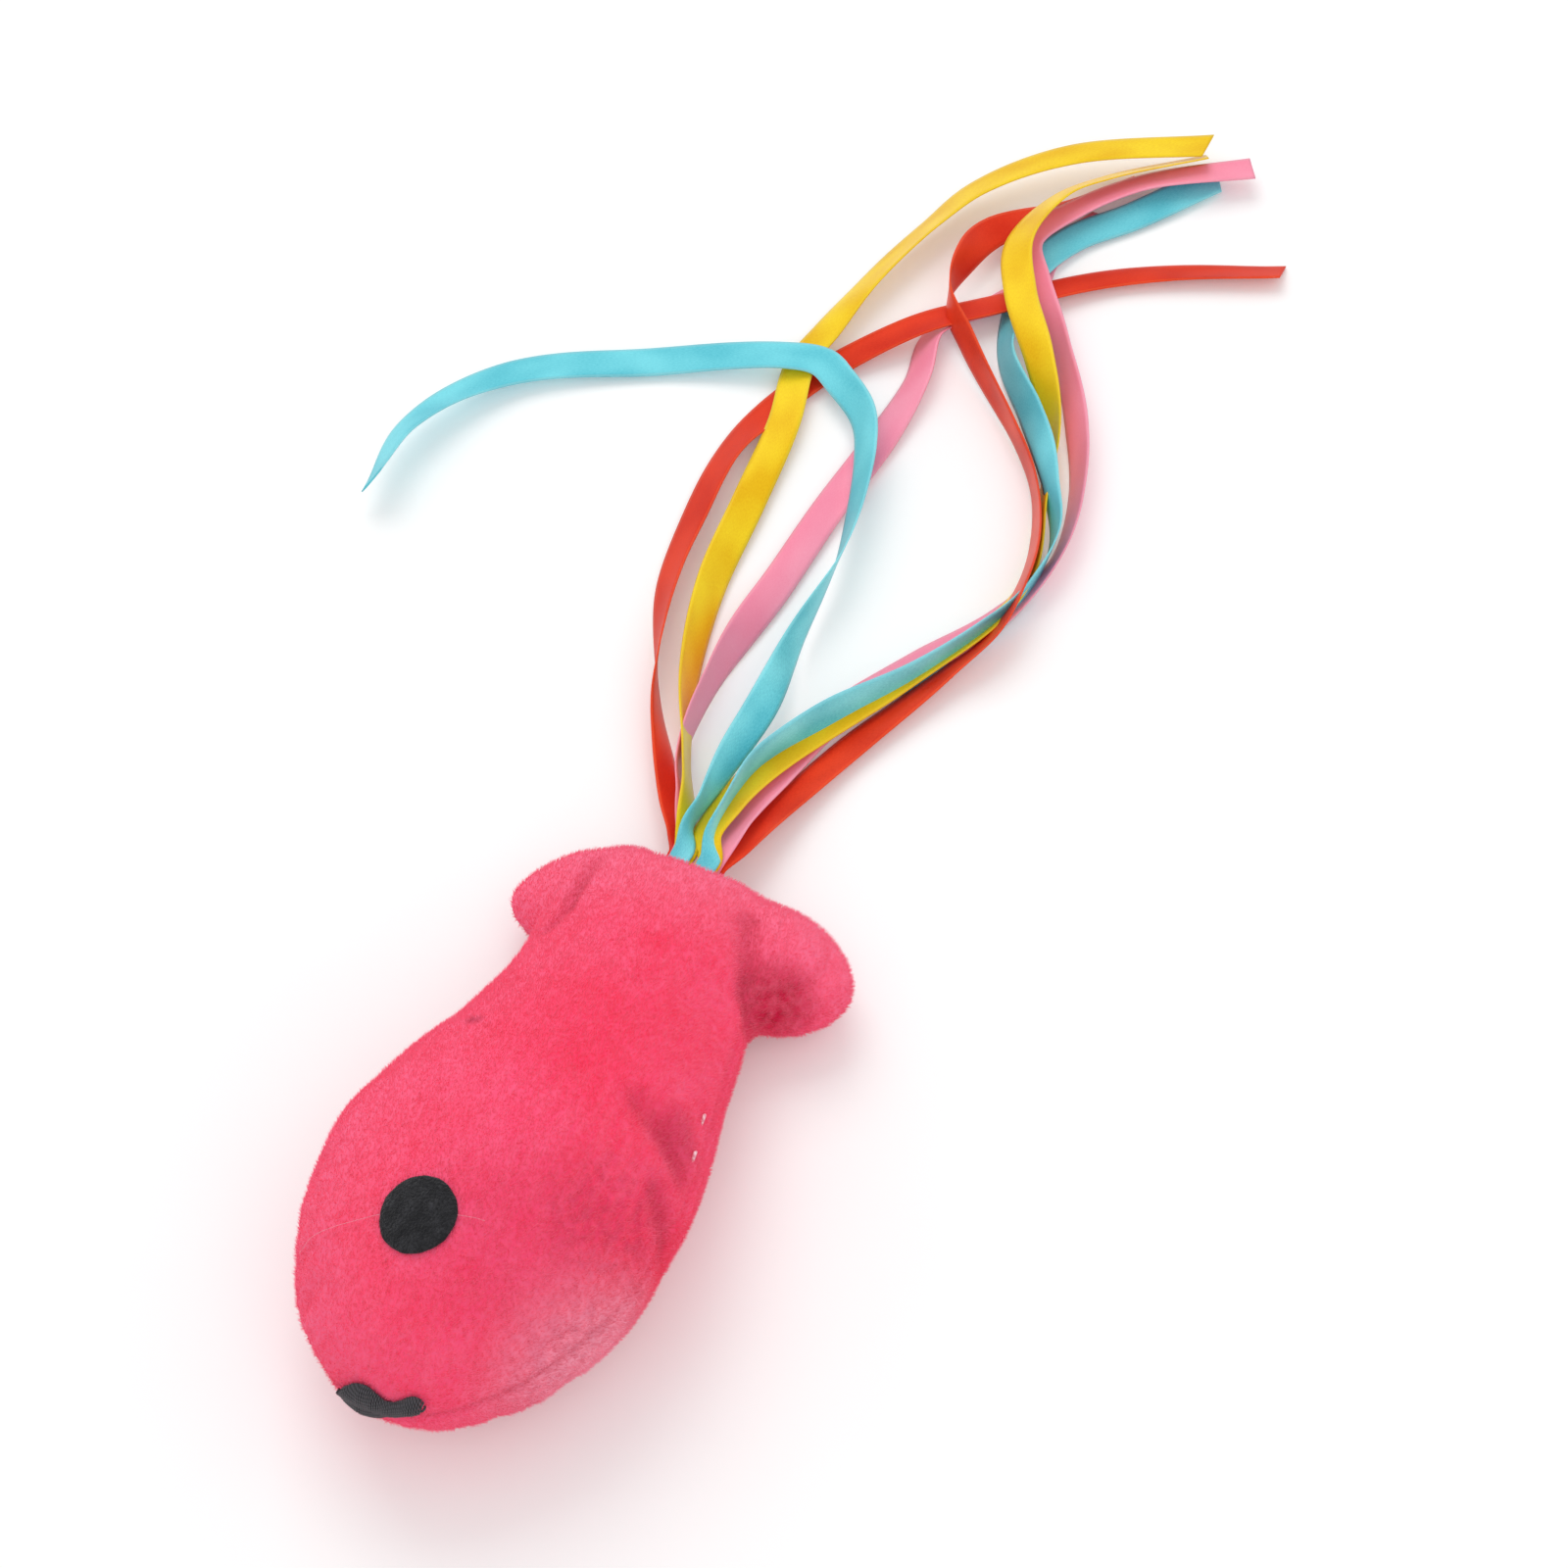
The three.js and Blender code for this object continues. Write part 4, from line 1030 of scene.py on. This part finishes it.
def sewn(name, lines, radius, sides, material):
    """Threads along lines of points, as one piece."""
    points = [p for line in lines for p in line]
    data = bpy.data.meshes.new(name + "_lines")
    edges, first = [], 0
    for line in lines:
        edges += [(first + i, first + i + 1) for i in range(len(line) - 1)]
        first += len(line)
    data.from_pydata([tuple(p) for p in points], edges, [])
    source = bpy.data.objects.new(name + "_lines", data)
    made = grown(name, source, THREAD, {"Radius": radius, "Sides": sides, "Material": material})
    bpy.data.objects.remove(source)
    face_outwards(made)
    smooth(made)
    return made


# Across the snout from back to belly, with the band's lower and upper edge, in millimetres
MOUTH = [(-6.3, 18.7, 19.4), (-6.0, 18.0, 20.2), (-5.5, 17.4, 21.0), (-4.7, 16.9, 22.0),
         (-3.7, 16.6, 22.9), (-2.8, 16.5, 23.4), (-1.8, 16.6, 23.7), (-1.0, 16.9, 23.6),
         (0.0, 17.4, 23.2), (1.2, 18.2, 22.8), (2.6, 19.3, 23.1), (3.8, 20.3, 23.9),
         (4.7, 21.0, 24.6), (5.5, 21.5, 24.8), (6.1, 21.9, 24.7), (6.6, 22.4, 24.4),
         (6.9, 22.9, 24.0), (7.0, 23.3, 23.7)]
MOUTH_STITCHES = 42
STITCH_STEPS = 12
STITCH_SLANT = 0.3
MOUTH_PADDING, MOUTH_LIFT = 0.75 * MM, 0.45 * MM
MOUTH_THREAD = 0.19 * MM
BEFORE_SNOUT = 40 * MM
mouth_lines = []
for i in range(MOUTH_STITCHES + 1):
    y = MOUTH[0][0] + (MOUTH[-1][0] - MOUTH[0][0]) * i / MOUTH_STITCHES
    low = along([(across, bottom) for across, bottom, _ in MOUTH], y) * MM
    high = along([(across, top) for across, _, top in MOUTH], y) * MM
    line = []
    for j in range(STITCH_STEPS + 1):
        t = -1 + 2 * j / STITCH_STEPS
        start = Vector((SNOUT_X + BEFORE_SNOUT, (y + STITCH_SLANT * t) * MM,
                        (low + high) / 2 + (high - low) / 2 * t))
        place, slope, _, _ = surface_tree.ray_cast(start, Vector((-1, 0, 0)))
        line.append(place + slope * (MOUTH_PADDING * round_end(t) ** 0.6 + MOUTH_LIFT) + MIDDLE)
    mouth_lines.append(line)
charcoal = spun("charcoal_embroidery", "222024", "48454b", 1500.0, 0.65)
mouth = sewn("mouth_satin_stitch", mouth_lines, MOUTH_THREAD, 6, charcoal)
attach(mouth, "fish")
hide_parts("mouth_stitching")


# Each side seam is sewn with pink thread in short running stitches, a little inside the plush.
SEAM_SPAN = (0.14, 0.95)
SEAM_STEPS = 180
SEAM_INSET = 3 * MM
SEAM_STITCH_RISE = 0.18 * MM
SEAM_THREAD = 0.28 * MM
seam_pink = spun("pink_sewing_thread", "c23c63", "f06c90", 2200.0, 0.7)
for side, label in ((-1, "back"), (1, "belly")):
    line = []
    for i in range(SEAM_STEPS + 1):
        cut = section(SEAM_SPAN[0] + (SEAM_SPAN[1] - SEAM_SPAN[0]) * i / SEAM_STEPS, SEAM_INSET)
        place = point_on(cut, seam_angle(cut, side))
        place.z += SEAM_STITCH_RISE * math.sin(i * math.pi / 3)
        line.append(place + MIDDLE)
    seam = sewn(f"seam_{label}_running_thread", [line], SEAM_THREAD, 8, seam_pink)
    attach(seam, "fish")
    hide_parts(f"seam_thread_{label}")


# The opening that the fish is filled through is closed by hand with pale thread, whipped over the
# belly seam at the pucker. Most of it sinks into the pile, and only short specks of it show.
pale_thread = spun("pale_hand_thread", "ea9db0", "ffd9e0", 1500.0, 0.6)
# Places from the snout, in millimetres: the closed opening's ends and the first speck that shows
CLOSING_SPAN = (52.3, 63.7)
FIRST_SPECK, STITCH_PITCH = 54.2, 3.8
CLOSING_STEPS = 120
STITCH_ABOVE_SEAM, STITCH_REACH = 2.2 * MM, 1.0 * MM
SPECK_RISE, STITCH_SINKS = 0.95 * MM, 0.35 * MM
CLOSING_THREAD = 0.27 * MM
closing = []
for i in range(CLOSING_STEPS + 1):
    from_snout = CLOSING_SPAN[0] + (CLOSING_SPAN[1] - CLOSING_SPAN[0]) * i / CLOSING_STEPS
    cut = section(1 - from_snout * MM / BODY_LENGTH, 0)
    turn = 2 * math.pi * (from_snout - FIRST_SPECK) / STITCH_PITCH
    angle = seam_angle(cut, 1) + (STITCH_ABOVE_SEAM + math.cos(turn) * STITCH_REACH) / cut["upper"]
    found, slope, _, _ = surface_tree.find_nearest(point_on(cut, angle))
    # Every second whip lies over the pile at its top, and the others are sunk in it
    at_speck = abs(math.remainder(from_snout - FIRST_SPECK, 2 * STITCH_PITCH)) < 1
    shows = max(0.0, math.cos(turn)) if at_speck else 0.0
    closing.append(found + slope * (SPECK_RISE * shows - STITCH_SINKS) + MIDDLE)
stitches = sewn("closing_hand_stitches", [closing], CLOSING_THREAD, 8, pale_thread)
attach(stitches, "fish")
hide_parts("closing_thread")


# A fine pale end of the eye's sewing thread lies over the pile. It passes under the upper eye and
# shows on both sides of it. Its places are from the snout and towards the belly, in millimetres.
EYE_THREAD = [(16.2, -20.3), (16.6, -19.4), (18.2, -15.5), (19.6, -12.5), (21.2, -9.5), (22.4, -6),
              (23.6, -2.5), (25.1, 2.5), (25.6, 4.4), (25.8, 6.0)]
EYE_THREAD_STEPS = 6
ON_PILE = 0.5 * MM
EYE_THREAD_RADIUS = 0.045 * MM
eye_thread = [Vector((SNOUT_X - from_snout * MM, y * MM, 0)) for from_snout, y in EYE_THREAD]
thread_path = []
for a, b in zip(eye_thread[:-1], eye_thread[1:]):
    for i in range(EYE_THREAD_STEPS):
        flat = a.lerp(b, i / EYE_THREAD_STEPS)
        thread_path.append(on_skin(flat.x, flat.y, 1, ON_PILE) + MIDDLE)
faint_thread = spun("faint_eye_thread", "ff7a98", "ffa9bc", 1500.0, 0.6)
stray = sewn("eye_thread_end", [thread_path], EYE_THREAD_RADIUS, 6, faint_thread)
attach(stray, "fish")


# Four satin ribbons are folded in half and laid on each other in the tail seam. Each fold is a flat
# V, and a pink tack through all four keeps them there.
RIBBON_HALF = 3 * MM
RIBBON_THICKNESS = 0.3 * MM
LAYER_PITCH = 0.7 * MM
COLOURS = ["red", "pink", "yellow", "turquoise"]
ROOT_X = TAIL_X - 0.5 * MM
# Where the seam holds them, the two tails of a ribbon are gathered narrower, this far from the middle
GATHERED = {"red": 0.72, "pink": 0.7, "yellow": 0.66, "turquoise": 0.56}
ROOT_APART = {"red": 2.9 * MM, "pink": 2.4 * MM, "yellow": 2.2 * MM, "turquoise": 2.3 * MM}


def satin_weave_group():
    """Close satin: fine floats, broad painted glints and a corded edge. Its map is in metres."""
    group, start, end = new_group(
        "satin_weave", "ShaderNodeTree", [("Vector", "Vector"), ("Float Pitch", "Float", 6500.0)],
        [("Height", "Float"), ("Fleck", "Float"), ("Edge", "Float"), ("Painted Glint", "Float")])
    split = node(group, "ShaderNodeSeparateXYZ", {0: start.outputs["Vector"]}).outputs
    place = node(group, "ShaderNodeCombineXYZ", {
        "X": maths(group, "MULTIPLY", split["X"], start.outputs["Float Pitch"]),
        "Y": maths(group, "MULTIPLY", split["Y"], 1600.0)}).outputs[0]
    floats = node(group, "ShaderNodeTexNoise", {"Vector": place, "Scale": 1.0, "Detail": 2.0})
    fleck = ranged(group, floats.outputs["Fac"], 0.3, 0.7)
    soft_place = node(group, "ShaderNodeMapping", {"Vector": start.outputs["Vector"],
                                                   "Scale": (170.0, 75.0, 1.0)}).outputs[0]
    soft = node(group, "ShaderNodeTexNoise", {"Vector": soft_place, "Scale": 1.0, "Detail": 1.0})
    edge = ranged(group, maths(group, "ABSOLUTE", split["X"]), 2.45 * MM, 2.75 * MM)
    cord = maths(group, "SINE", maths(group, "MULTIPLY", split["Y"], 9000.0))
    height = maths(group, "ADD", fleck, maths(group, "MULTIPLY", cord, edge))
    for label, value in (("Height", height), ("Fleck", fleck), ("Edge", edge),
                         ("Painted Glint", ranged(group, soft.outputs["Fac"], 0.34, 0.66))):
        group.links.new(value, end.inputs[label])
    return group


SATIN_WEAVE = satin_weave_group()


def satin(name, deep, bright, pale):
    """A ribbon's material: dyed floats with a silky gloss and painted glints, paler at the corded
    edges, and on the dull side rougher and painted darker, as shade.
    """
    material, tree, surface = shader(name)
    place = node(tree, "ShaderNodeUVMap", uv_map="ribbon").outputs[0]
    weave = node(tree, "ShaderNodeGroup", {"Vector": place}, node_tree=SATIN_WEAVE).outputs
    grain = maths(tree, "MULTIPLY", weave["Fleck"], 0.4)
    # The broad glints are painted highlights, laid over the weave's grain
    grain_and_glint = maths(tree, "MULTIPLY_ADD", weave["Painted Glint"], 0.65, grain)
    dull = node(tree, "ShaderNodeAttribute", attribute_name="dull_side").outputs["Fac"]
    tint = mixed(tree, grain_and_glint, dye(deep), dye(bright))
    # The dull side is rougher, and its colour is painted darker, as shade
    tint = mixed(tree, maths(tree, "MULTIPLY", dull, 0.35), tint, dye(deep))
    tint = mixed(tree, maths(tree, "MULTIPLY", weave["Edge"], 0.35), tint, dye(pale))
    gloss = ranged(tree, weave["Fleck"], to_low=0.3, to_high=0.36)
    fed(tree, surface, {
        "Base Color": tint, "Roughness": maths(tree, "MULTIPLY_ADD", dull, 0.12, gloss),
        "Normal": bumped(tree, weave["Height"], 0.15, 0.05 * MM), "Specular IOR Level": 0.32,
        "Specular Tint": dye(bright), "Anisotropic": 0.5})
    return material


SATINS = {
    "red": satin("red_satin", "cf2a16", "f54a2a", "ff6f4a"),
    "pink": satin("pink_satin", "f98aa6", "ffa0b8", "ffb9c9"),
    "yellow": satin("yellow_satin", "eab113", "fddb2c", "fde250"),
    "turquoise": satin("turquoise_satin", "56bfd0", "92f1fa", "aeebf2"),
}


STRIP_COLUMNS = 9
EDGE_SHARE = 0.75


def strip(name, centres, wides, thicks, half_widths, cups, cuts, colour):
    """A satin strip along its centres: each place has its directions across and through the cloth."""
    columns = STRIP_COLUMNS
    count = len(centres)
    lengths = [random.Random(name).uniform(0, 4)]
    for a, b in zip(centres[:-1], centres[1:]):
        lengths.append(lengths[-1] + (b - a).length)
    points, faces, marks, dull = [], [], [], []
    for i in range(count):
        for back in (0, 1):
            for j in range(columns):
                t = -1 + 2 * j / (columns - 1)
                if back:
                    t = -t
                edge = 1.0 if abs(t) < 0.99 else EDGE_SHARE
                offset = (0.5 - back) * RIBBON_THICKNESS * edge + cups[i] * (t * t - 0.35)
                ahead = cuts[i] * t
                points.append(centres[i] + wides[i] * t * half_widths[i] + thicks[i] * offset
                              + wides[i].cross(thicks[i]) * ahead)
                marks.append((t * half_widths[i], lengths[i] + ahead))
                dull.append(float(back))
    ring = 2 * columns
    for i in range(count - 1):
        for j in range(ring):
            k = (j + 1) % ring
            faces.append((i * ring + j, (i + 1) * ring + j, (i + 1) * ring + k, i * ring + k))
    for j in range(columns - 1):
        faces.append((j, j + 1, ring - 2 - j, ring - 1 - j))
        low = (count - 1) * ring
        faces.append((low + j + 1, low + j, low + ring - 1 - j, low + ring - 2 - j))
    made = mesh_object(name, points, faces)
    face_outwards(made)
    layer = made.data.uv_layers.new(name="ribbon")
    corners = np.empty(len(made.data.loops), dtype=np.int32)
    made.data.loops.foreach_get("vertex_index", corners)
    layer.data.foreach_set("uv", np.array(marks, dtype=np.float32)[corners].ravel())
    sides = made.data.attributes.new("dull_side", "FLOAT", "POINT")
    sides.data.foreach_set("value", np.array(dull, dtype=np.float32))
    smooth(made)
    made.data.materials.append(SATINS[colour])
    return made


def layer_height(layer):
    return TAIL_SEAM + (layer - (len(COLOURS) - 1) / 2) * LAYER_PITCH


FOLD_STEPS = 40
FOLD_DEPTH = 6.2 * MM
FOLD_RIPPLE = 0.05 * MM
FOLD_SHARE = 0.5
for layer, colour in enumerate(COLOURS):
    # The fold's middle line goes in from one tail's root, round the V's point and out to the other
    centres, wides, thicks, halves = [], [], [], []
    for i in range(FOLD_STEPS + 1):
        t = i / FOLD_STEPS * 2 - 1
        y = ROOT_APART[colour] * math.copysign(abs(t) ** 0.8, t)
        x = ROOT_X + FOLD_DEPTH * (1 - t * t) ** 0.5 if abs(t) < 1 else ROOT_X
        z = layer_height(layer) + FOLD_RIPPLE * math.sin(3 * math.pi * t)
        centres.append(Vector((x, y + RIBBONS_FROM_MIDDLE, z)) + MIDDLE)
        turn = math.pi / 2 * t
        wides.append(Vector((-math.cos(turn), math.sin(turn), 0)))
        thicks.append(Vector((0, 0, 1)))
        halves.append(RIBBON_HALF * (FOLD_SHARE + (GATHERED[colour] - FOLD_SHARE) * abs(t)))
    plain = [0.0] * len(centres)
    fold = strip(f"ribbon_fold_{colour}_satin", centres, wides, thicks, halves, plain, plain, colour)
    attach(fold, "ribbon_roots")
    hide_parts(f"ribbon_fold_{colour}")

TACK_STEPS, TACK_TURNS = 96, 4
TACK_IN, TACK_LOOP, TACK_HEIGHT, TACK_THREAD = 5.5 * MM, 0.32 * MM, 3.3 * MM, 0.2 * MM
tack_line = []
for i in range(TACK_STEPS + 1):
    t = i / TACK_STEPS
    turn = 2 * math.pi * TACK_TURNS * t
    tack_line.append(Vector((TAIL_X + TACK_IN + TACK_LOOP * math.cos(turn),
                             RIBBONS_FROM_MIDDLE + TACK_LOOP * math.sin(turn),
                             TAIL_SEAM + (t - 0.5) * TACK_HEIGHT)) + MIDDLE)
tack = sewn("tack_stitch", [tack_line], TACK_THREAD, 8, seam_pink)
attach(tack, "fish")
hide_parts("ribbon_tack")


# The ribbons' free ends are eight tails of 6 mm satin, cut off plain. They leave the tail seam flat,
# one colour on another, and lie on the table in loose bends, crossing and turning over.
# Each point is the distance behind the tail, the place towards the belly and the height, in
# millimetres, and the roll in degrees.
ROUTES = {
    ("red", "left"): [
        (7.3, -7.9, 5.6, 46), (13.8, -12.5, 3.7, 44), (24, -19, 2.2, 54), (35.4, -25.7, 2, 78),
        (55.5, -33.5, 3, 133), (72, -36, 3, 148), (89, -37, 2.4, 148), (101, -35, 1, 172),
        (116, -29, 0.7, 172), (131, -19, 0.7, 168), (142, -8, 0.7, 165), (158, 10, 0.7, 163),
        (171, 37, 1.4, 152)],
    ("red", "right"): [
        (8.7, 1.7, 6.3, -26), (16.5, 2.9, 4.4, -22), (25.7, 4.9, 2.6, -19), (39.3, 9.1, 1.4, -17),
        (57.6, 16.7, 2.2, -38), (67.8, 21.9, 4.6, -52), (77.7, 22.5, 5.2, -64), (90.7, 20.6, 4.2, -73),
        (103.9, 14.9, 2.4, -86), (114.6, 6.4, 1.9, -89), (130, -9, 2.4, -72), (138, -16, 2.3, -80),
        (149, -17, 2.3, -128), (157, -15, 2.3, -158), (169.1, -4.8, 2, -201), (182.5, 5.3, 1.6, -209)],
    ("pink", "left"): [
        (7, -5.9, 7, 20), (14.5, -10.4, 5.2, 65), (22.9, -15.4, 3.4, 85), (42.8, -18.5, 1.8, 72),
        (66, -17, 1.4, 8), (83, -16, 1.4, 0), (102.5, -14, 1.4, -1), (118.8, -13.7, 1.8, -35),
        (129.7, -15.5, 1.6, -45), (136.5, -12.5, 1.2, -21), (142.3, -7.8, 0.8, -18),
        (149.4, -4.1, 0.5, 1), (156.8, -4.4, 0.5, 3), (171.3, 1.9, 0.5, -10)],
    ("pink", "right"): [
        (8.5, -0.1, 7.7, -31), (15.8, -0.7, 5.2, -24), (25.9, 0, 2.8, -11), (42.9, 3.3, 0.9, -3),
        (60.5, 12.3, 0.7, -5), (75.3, 20.9, 1.2, -28), (90.4, 24.9, 2.6, -64), (105.9, 22.5, 3.2, -64),
        (119.4, 16.8, 3.9, -52), (133.9, 7.9, 3.9, -64), (148, -3, 3.9, -18), (157, -8, 3.9, 0),
        (167.5, -3.2, 3.9, -20), (179.4, 5.9, 3.9, -21), (191.3, 23.3, 3.9, -7)],
    ("yellow", "left"): [
        (7, -6.2, 8.4, 30), (14.8, -9.8, 6.8, 73), (24.4, -14.9, 4.9, 80), (39.4, -21.7, 3.5, 61),
        (60, -27, 2.6, 38), (80, -29, 2.4, 14), (99, -31, 2.4, -6), (113, -34, 2.4, -14),
        (122, -33, 2.7, -16), (133, -31, 3.6, -36), (153.2, -25.6, 4.2, -38), (164.8, -21, 4.8, -24),
        (179, -8.1, 5.8, -10), (191.6, 14.1, 5.8, -6)],
    ("yellow", "right"): [
        (7.3, -2.9, 9.1, -17), (15.5, -3.2, 7, -21), (25.2, -2, 4.6, -8), (38.6, 2.7, 2.5, -5),
        (54.5, 10.8, 1.8, -18), (72.1, 19.7, 2, -40), (84.1, 22.1, 2.6, -62), (100.3, 18, 3, -72),
        (117.2, 13.4, 3, -70), (130, 5, 4.7, -38), (143, -4, 4.7, -8), (155, -9, 4.7, -30),
        (169, -6.5, 4.7, -43), (176.9, -0.2, 4.7, -41), (189.9, 14.7, 4.7, -41)],
    ("turquoise", "left"): [
        (7.2, -6.2, 10.5, 92), (13.3, -6.6, 9.2, 85), (24.1, -7, 7.8, 57), (38.1, -7, 6, 34),
        (54, -8, 5.4, 72), (70, -8, 6, 104), (82, -10, 6, 121), (96, -14, 6, 131), (104, -18, 5.6, 132),
        (110, -25, 5, 150), (113, -30, 4.6, 170), (112, -37, 4.2, 178), (103, -58, 2, 172),
        (88, -81, 3, 185), (68, -90, 6, 212), (53, -89, 7.5, 240)],
    ("turquoise", "right"): [
        (7.1, -1.9, 9.8, 75), (13.8, -2.9, 8.4, 87), (24.1, -3.1, 7, 87), (30.8, -1.5, 5.6, 83),
        (41.5, 3.5, 4.4, 67), (55.1, 12.4, 3.3, 78), (68.6, 19.6, 3.3, 89), (77.4, 23.2, 3.8, 90),
        (92.6, 23.5, 4.6, 106), (102.7, 18.4, 4.6, 109), (110.2, 13.9, 4.2, 126),
        (118.6, 8.1, 3.3, 126), (130.1, -1.2, 3, 109), (141.8, -3.9, 2.2, 151),
        (152.8, -4.8, 1.6, 178), (163, -1.1, 1.5, 187), (173.5, 7.3, 1.5, 190),
        (188.5, 17.7, 1.8, 190)],
}
# Some tails arch higher where they cross over others, in millimetres by their route's points. They lean
# towards the camera as they rise, so that they keep their places in the photograph
RAISED = {
    ("red", "left"): {8: 0.8, 9: 3.2, 10: 2.4, 11: 0.5},
    ("red", "right"): {9: 0.8, 10: 2.5, 11: 4.5, 12: 4.0, 13: 2.0, 14: 0.3},
    ("yellow", "left"): {4: 0.3},
    ("yellow", "right"): {9: 2.2, 10: 2.6, 11: 2.4, 12: 1.4, 13: 0.5},
    ("turquoise", "right"): {8: 0.8, 9: 2.6, 10: 3.0, 11: 1.5},
}
RING_STEP = 0.6 * MM
STEPS_PER_POINT = 24
ROLL_WINDOW = 11


def smooth_route(points, rolls, step):
    """Even steps along the smooth curve through points, with the roll at each step."""
    places, turns = [], []
    for k in range(len(points) - 1):
        p1, p2 = points[k], points[k + 1]
        p0 = points[k - 1] if k else 2 * p1 - p2
        p3 = points[k + 2] if k + 2 < len(points) else 2 * p2 - p1
        d0, d1, d2 = [max((b - a).length ** 0.5, 1e-4) for a, b in ((p0, p1), (p1, p2), (p2, p3))]
        t1 = ((p1 - p0) / d0 - (p2 - p0) / (d0 + d1) + (p2 - p1) / d1) * d1
        t2 = ((p2 - p1) / d1 - (p3 - p1) / (d1 + d2) + (p3 - p2) / d2) * d1
        for i in range(STEPS_PER_POINT):
            t = i / STEPS_PER_POINT
            places.append(p1 + t1 * t + (3 * (p2 - p1) - 2 * t1 - t2) * t * t
                          + (2 * (p1 - p2) + t1 + t2) * t ** 3)
            turns.append(rolls[k] + (rolls[k + 1] - rolls[k]) * t)
    places.append(points[-1])
    turns.append(rolls[-1])
    flat = np.array([tuple(p) for p in places])
    run = np.concatenate(([0], np.cumsum(np.linalg.norm(np.diff(flat, axis=0), axis=1))))
    count = int(round(run[-1] / step))
    even = np.linspace(0, run[-1], count + 1)
    centres = [Vector([float(np.interp(s, run, flat[:, k])) for k in range(3)]) for s in even]
    roll = np.interp(even, run, turns)
    padded = np.pad(roll, ROLL_WINDOW, mode="edge")
    for _ in range(2):
        padded = np.convolve(padded, np.ones(ROLL_WINDOW) / ROLL_WINDOW, mode="same")
    roll = padded[ROLL_WINDOW:-ROLL_WINDOW]
    return centres, roll, run[-1]


def lifted(centres, roll):
    """A tail's centres, higher where it stands on its edge, so that the edge is clear of the table."""
    lack = [RIBBON_HALF * abs(math.sin(turn)) + EDGE_CLEAR - centre.z
            for centre, turn in zip(centres, roll)]
    reach = np.pad([max(0.0, one) for one in lack], LIFT_WINDOW - 1, mode="edge")
    reach = np.array([reach[i:i + LIFT_WINDOW].max() for i in range(len(reach) - LIFT_WINDOW + 1)])
    lift = np.convolve(reach, np.ones(LIFT_WINDOW) / LIFT_WINDOW, mode="valid")
    return [centre + UPWARDS * float(high) for centre, high in zip(centres, lift)]


# How slanted each tail's end is cut: how far its edges stand before and behind its middle
END_CUTS = {("yellow", "left"): 1.6, ("red", "left"): -1.0, ("turquoise", "left"): 1.2,
            ("turquoise", "right"): -1.2, ("pink", "right"): 0.2, ("red", "right"): 0.6,
            ("pink", "left"): -0.5, ("yellow", "right"): 0.8}
UPWARDS = TOWARDS_CAMERA / TOWARDS_CAMERA.z
EDGE_CLEAR = 0.35 * MM
LIFT_WINDOW = 17
HELD_LENGTH, STRAIGHT_LENGTH = 2.4 * MM, 2 * MM
CUP_HEIGHT = 0.16 * MM
CUT_RINGS = 6
GATHERED_RINGS, WIDENING_RINGS, FLAT_RINGS = 5, 24, 20
for (colour, end), route in ROUTES.items():
    layer = COLOURS.index(colour)
    side = -1 if end == "left" else 1
    root = Vector((ROOT_X - GAP, RIBBONS_FROM_MIDDLE + side * ROOT_APART[colour], layer_height(layer)))
    points = [root + Vector((HELD_LENGTH, 0, 0)), root, root - Vector((STRAIGHT_LENGTH, 0, 0))]
    rolls = [0.0, 0.0, 0.0]
    for place, (behind, across, height, roll) in enumerate(route):
        raised = RAISED.get((colour, end), {}).get(place, 0) * MM
        points.append(Vector((TAIL_X - behind * MM, across * MM, height * MM)) + raised * UPWARDS)
        rolls.append(math.radians(roll))
    centres, roll, length = smooth_route([p + MIDDLE for p in points], rolls, RING_STEP)
    centres = lifted(centres, roll)
    count = len(centres)
    drift = random.Random(f"{colour} {end}")
    waves = [(drift.uniform(2.5, 9) / count * 2 * math.pi, drift.uniform(0, 6.28)) for _ in range(4)]
    wides, thicks, cups, cuts, halves = [], [], [], [], []
    for i in range(count):
        ahead = (centres[min(i + 1, count - 1)] - centres[max(i - 1, 0)]).normalized()
        level = Vector((0, 0, 1)).cross(ahead).normalized()
        raised = ahead.cross(level)
        wide = level * math.cos(roll[i]) + raised * math.sin(roll[i])
        wides.append(wide)
        thicks.append(ahead.cross(wide))
        free = min(1.0, i / FLAT_RINGS)
        cups.append(free * CUP_HEIGHT * sum(math.sin(w * i + p) for w, p in waves) / 2)
        cuts.append(END_CUTS[(colour, end)] * MM * max(0.0, 1 - (count - 1 - i) / CUT_RINGS))
        spread = min(1.0, max(0.0, (i - GATHERED_RINGS) / WIDENING_RINGS))
        spread = spread * spread * (3 - 2 * spread)
        halves.append(RIBBON_HALF * (GATHERED[colour] + (1 - GATHERED[colour]) * spread))
    tail = strip(f"ribbon_{colour}_{end}_satin", centres, wides, thicks, halves, cups, cuts, colour)
    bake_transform(tail)
    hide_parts(f"ribbon_{colour}_{end}")
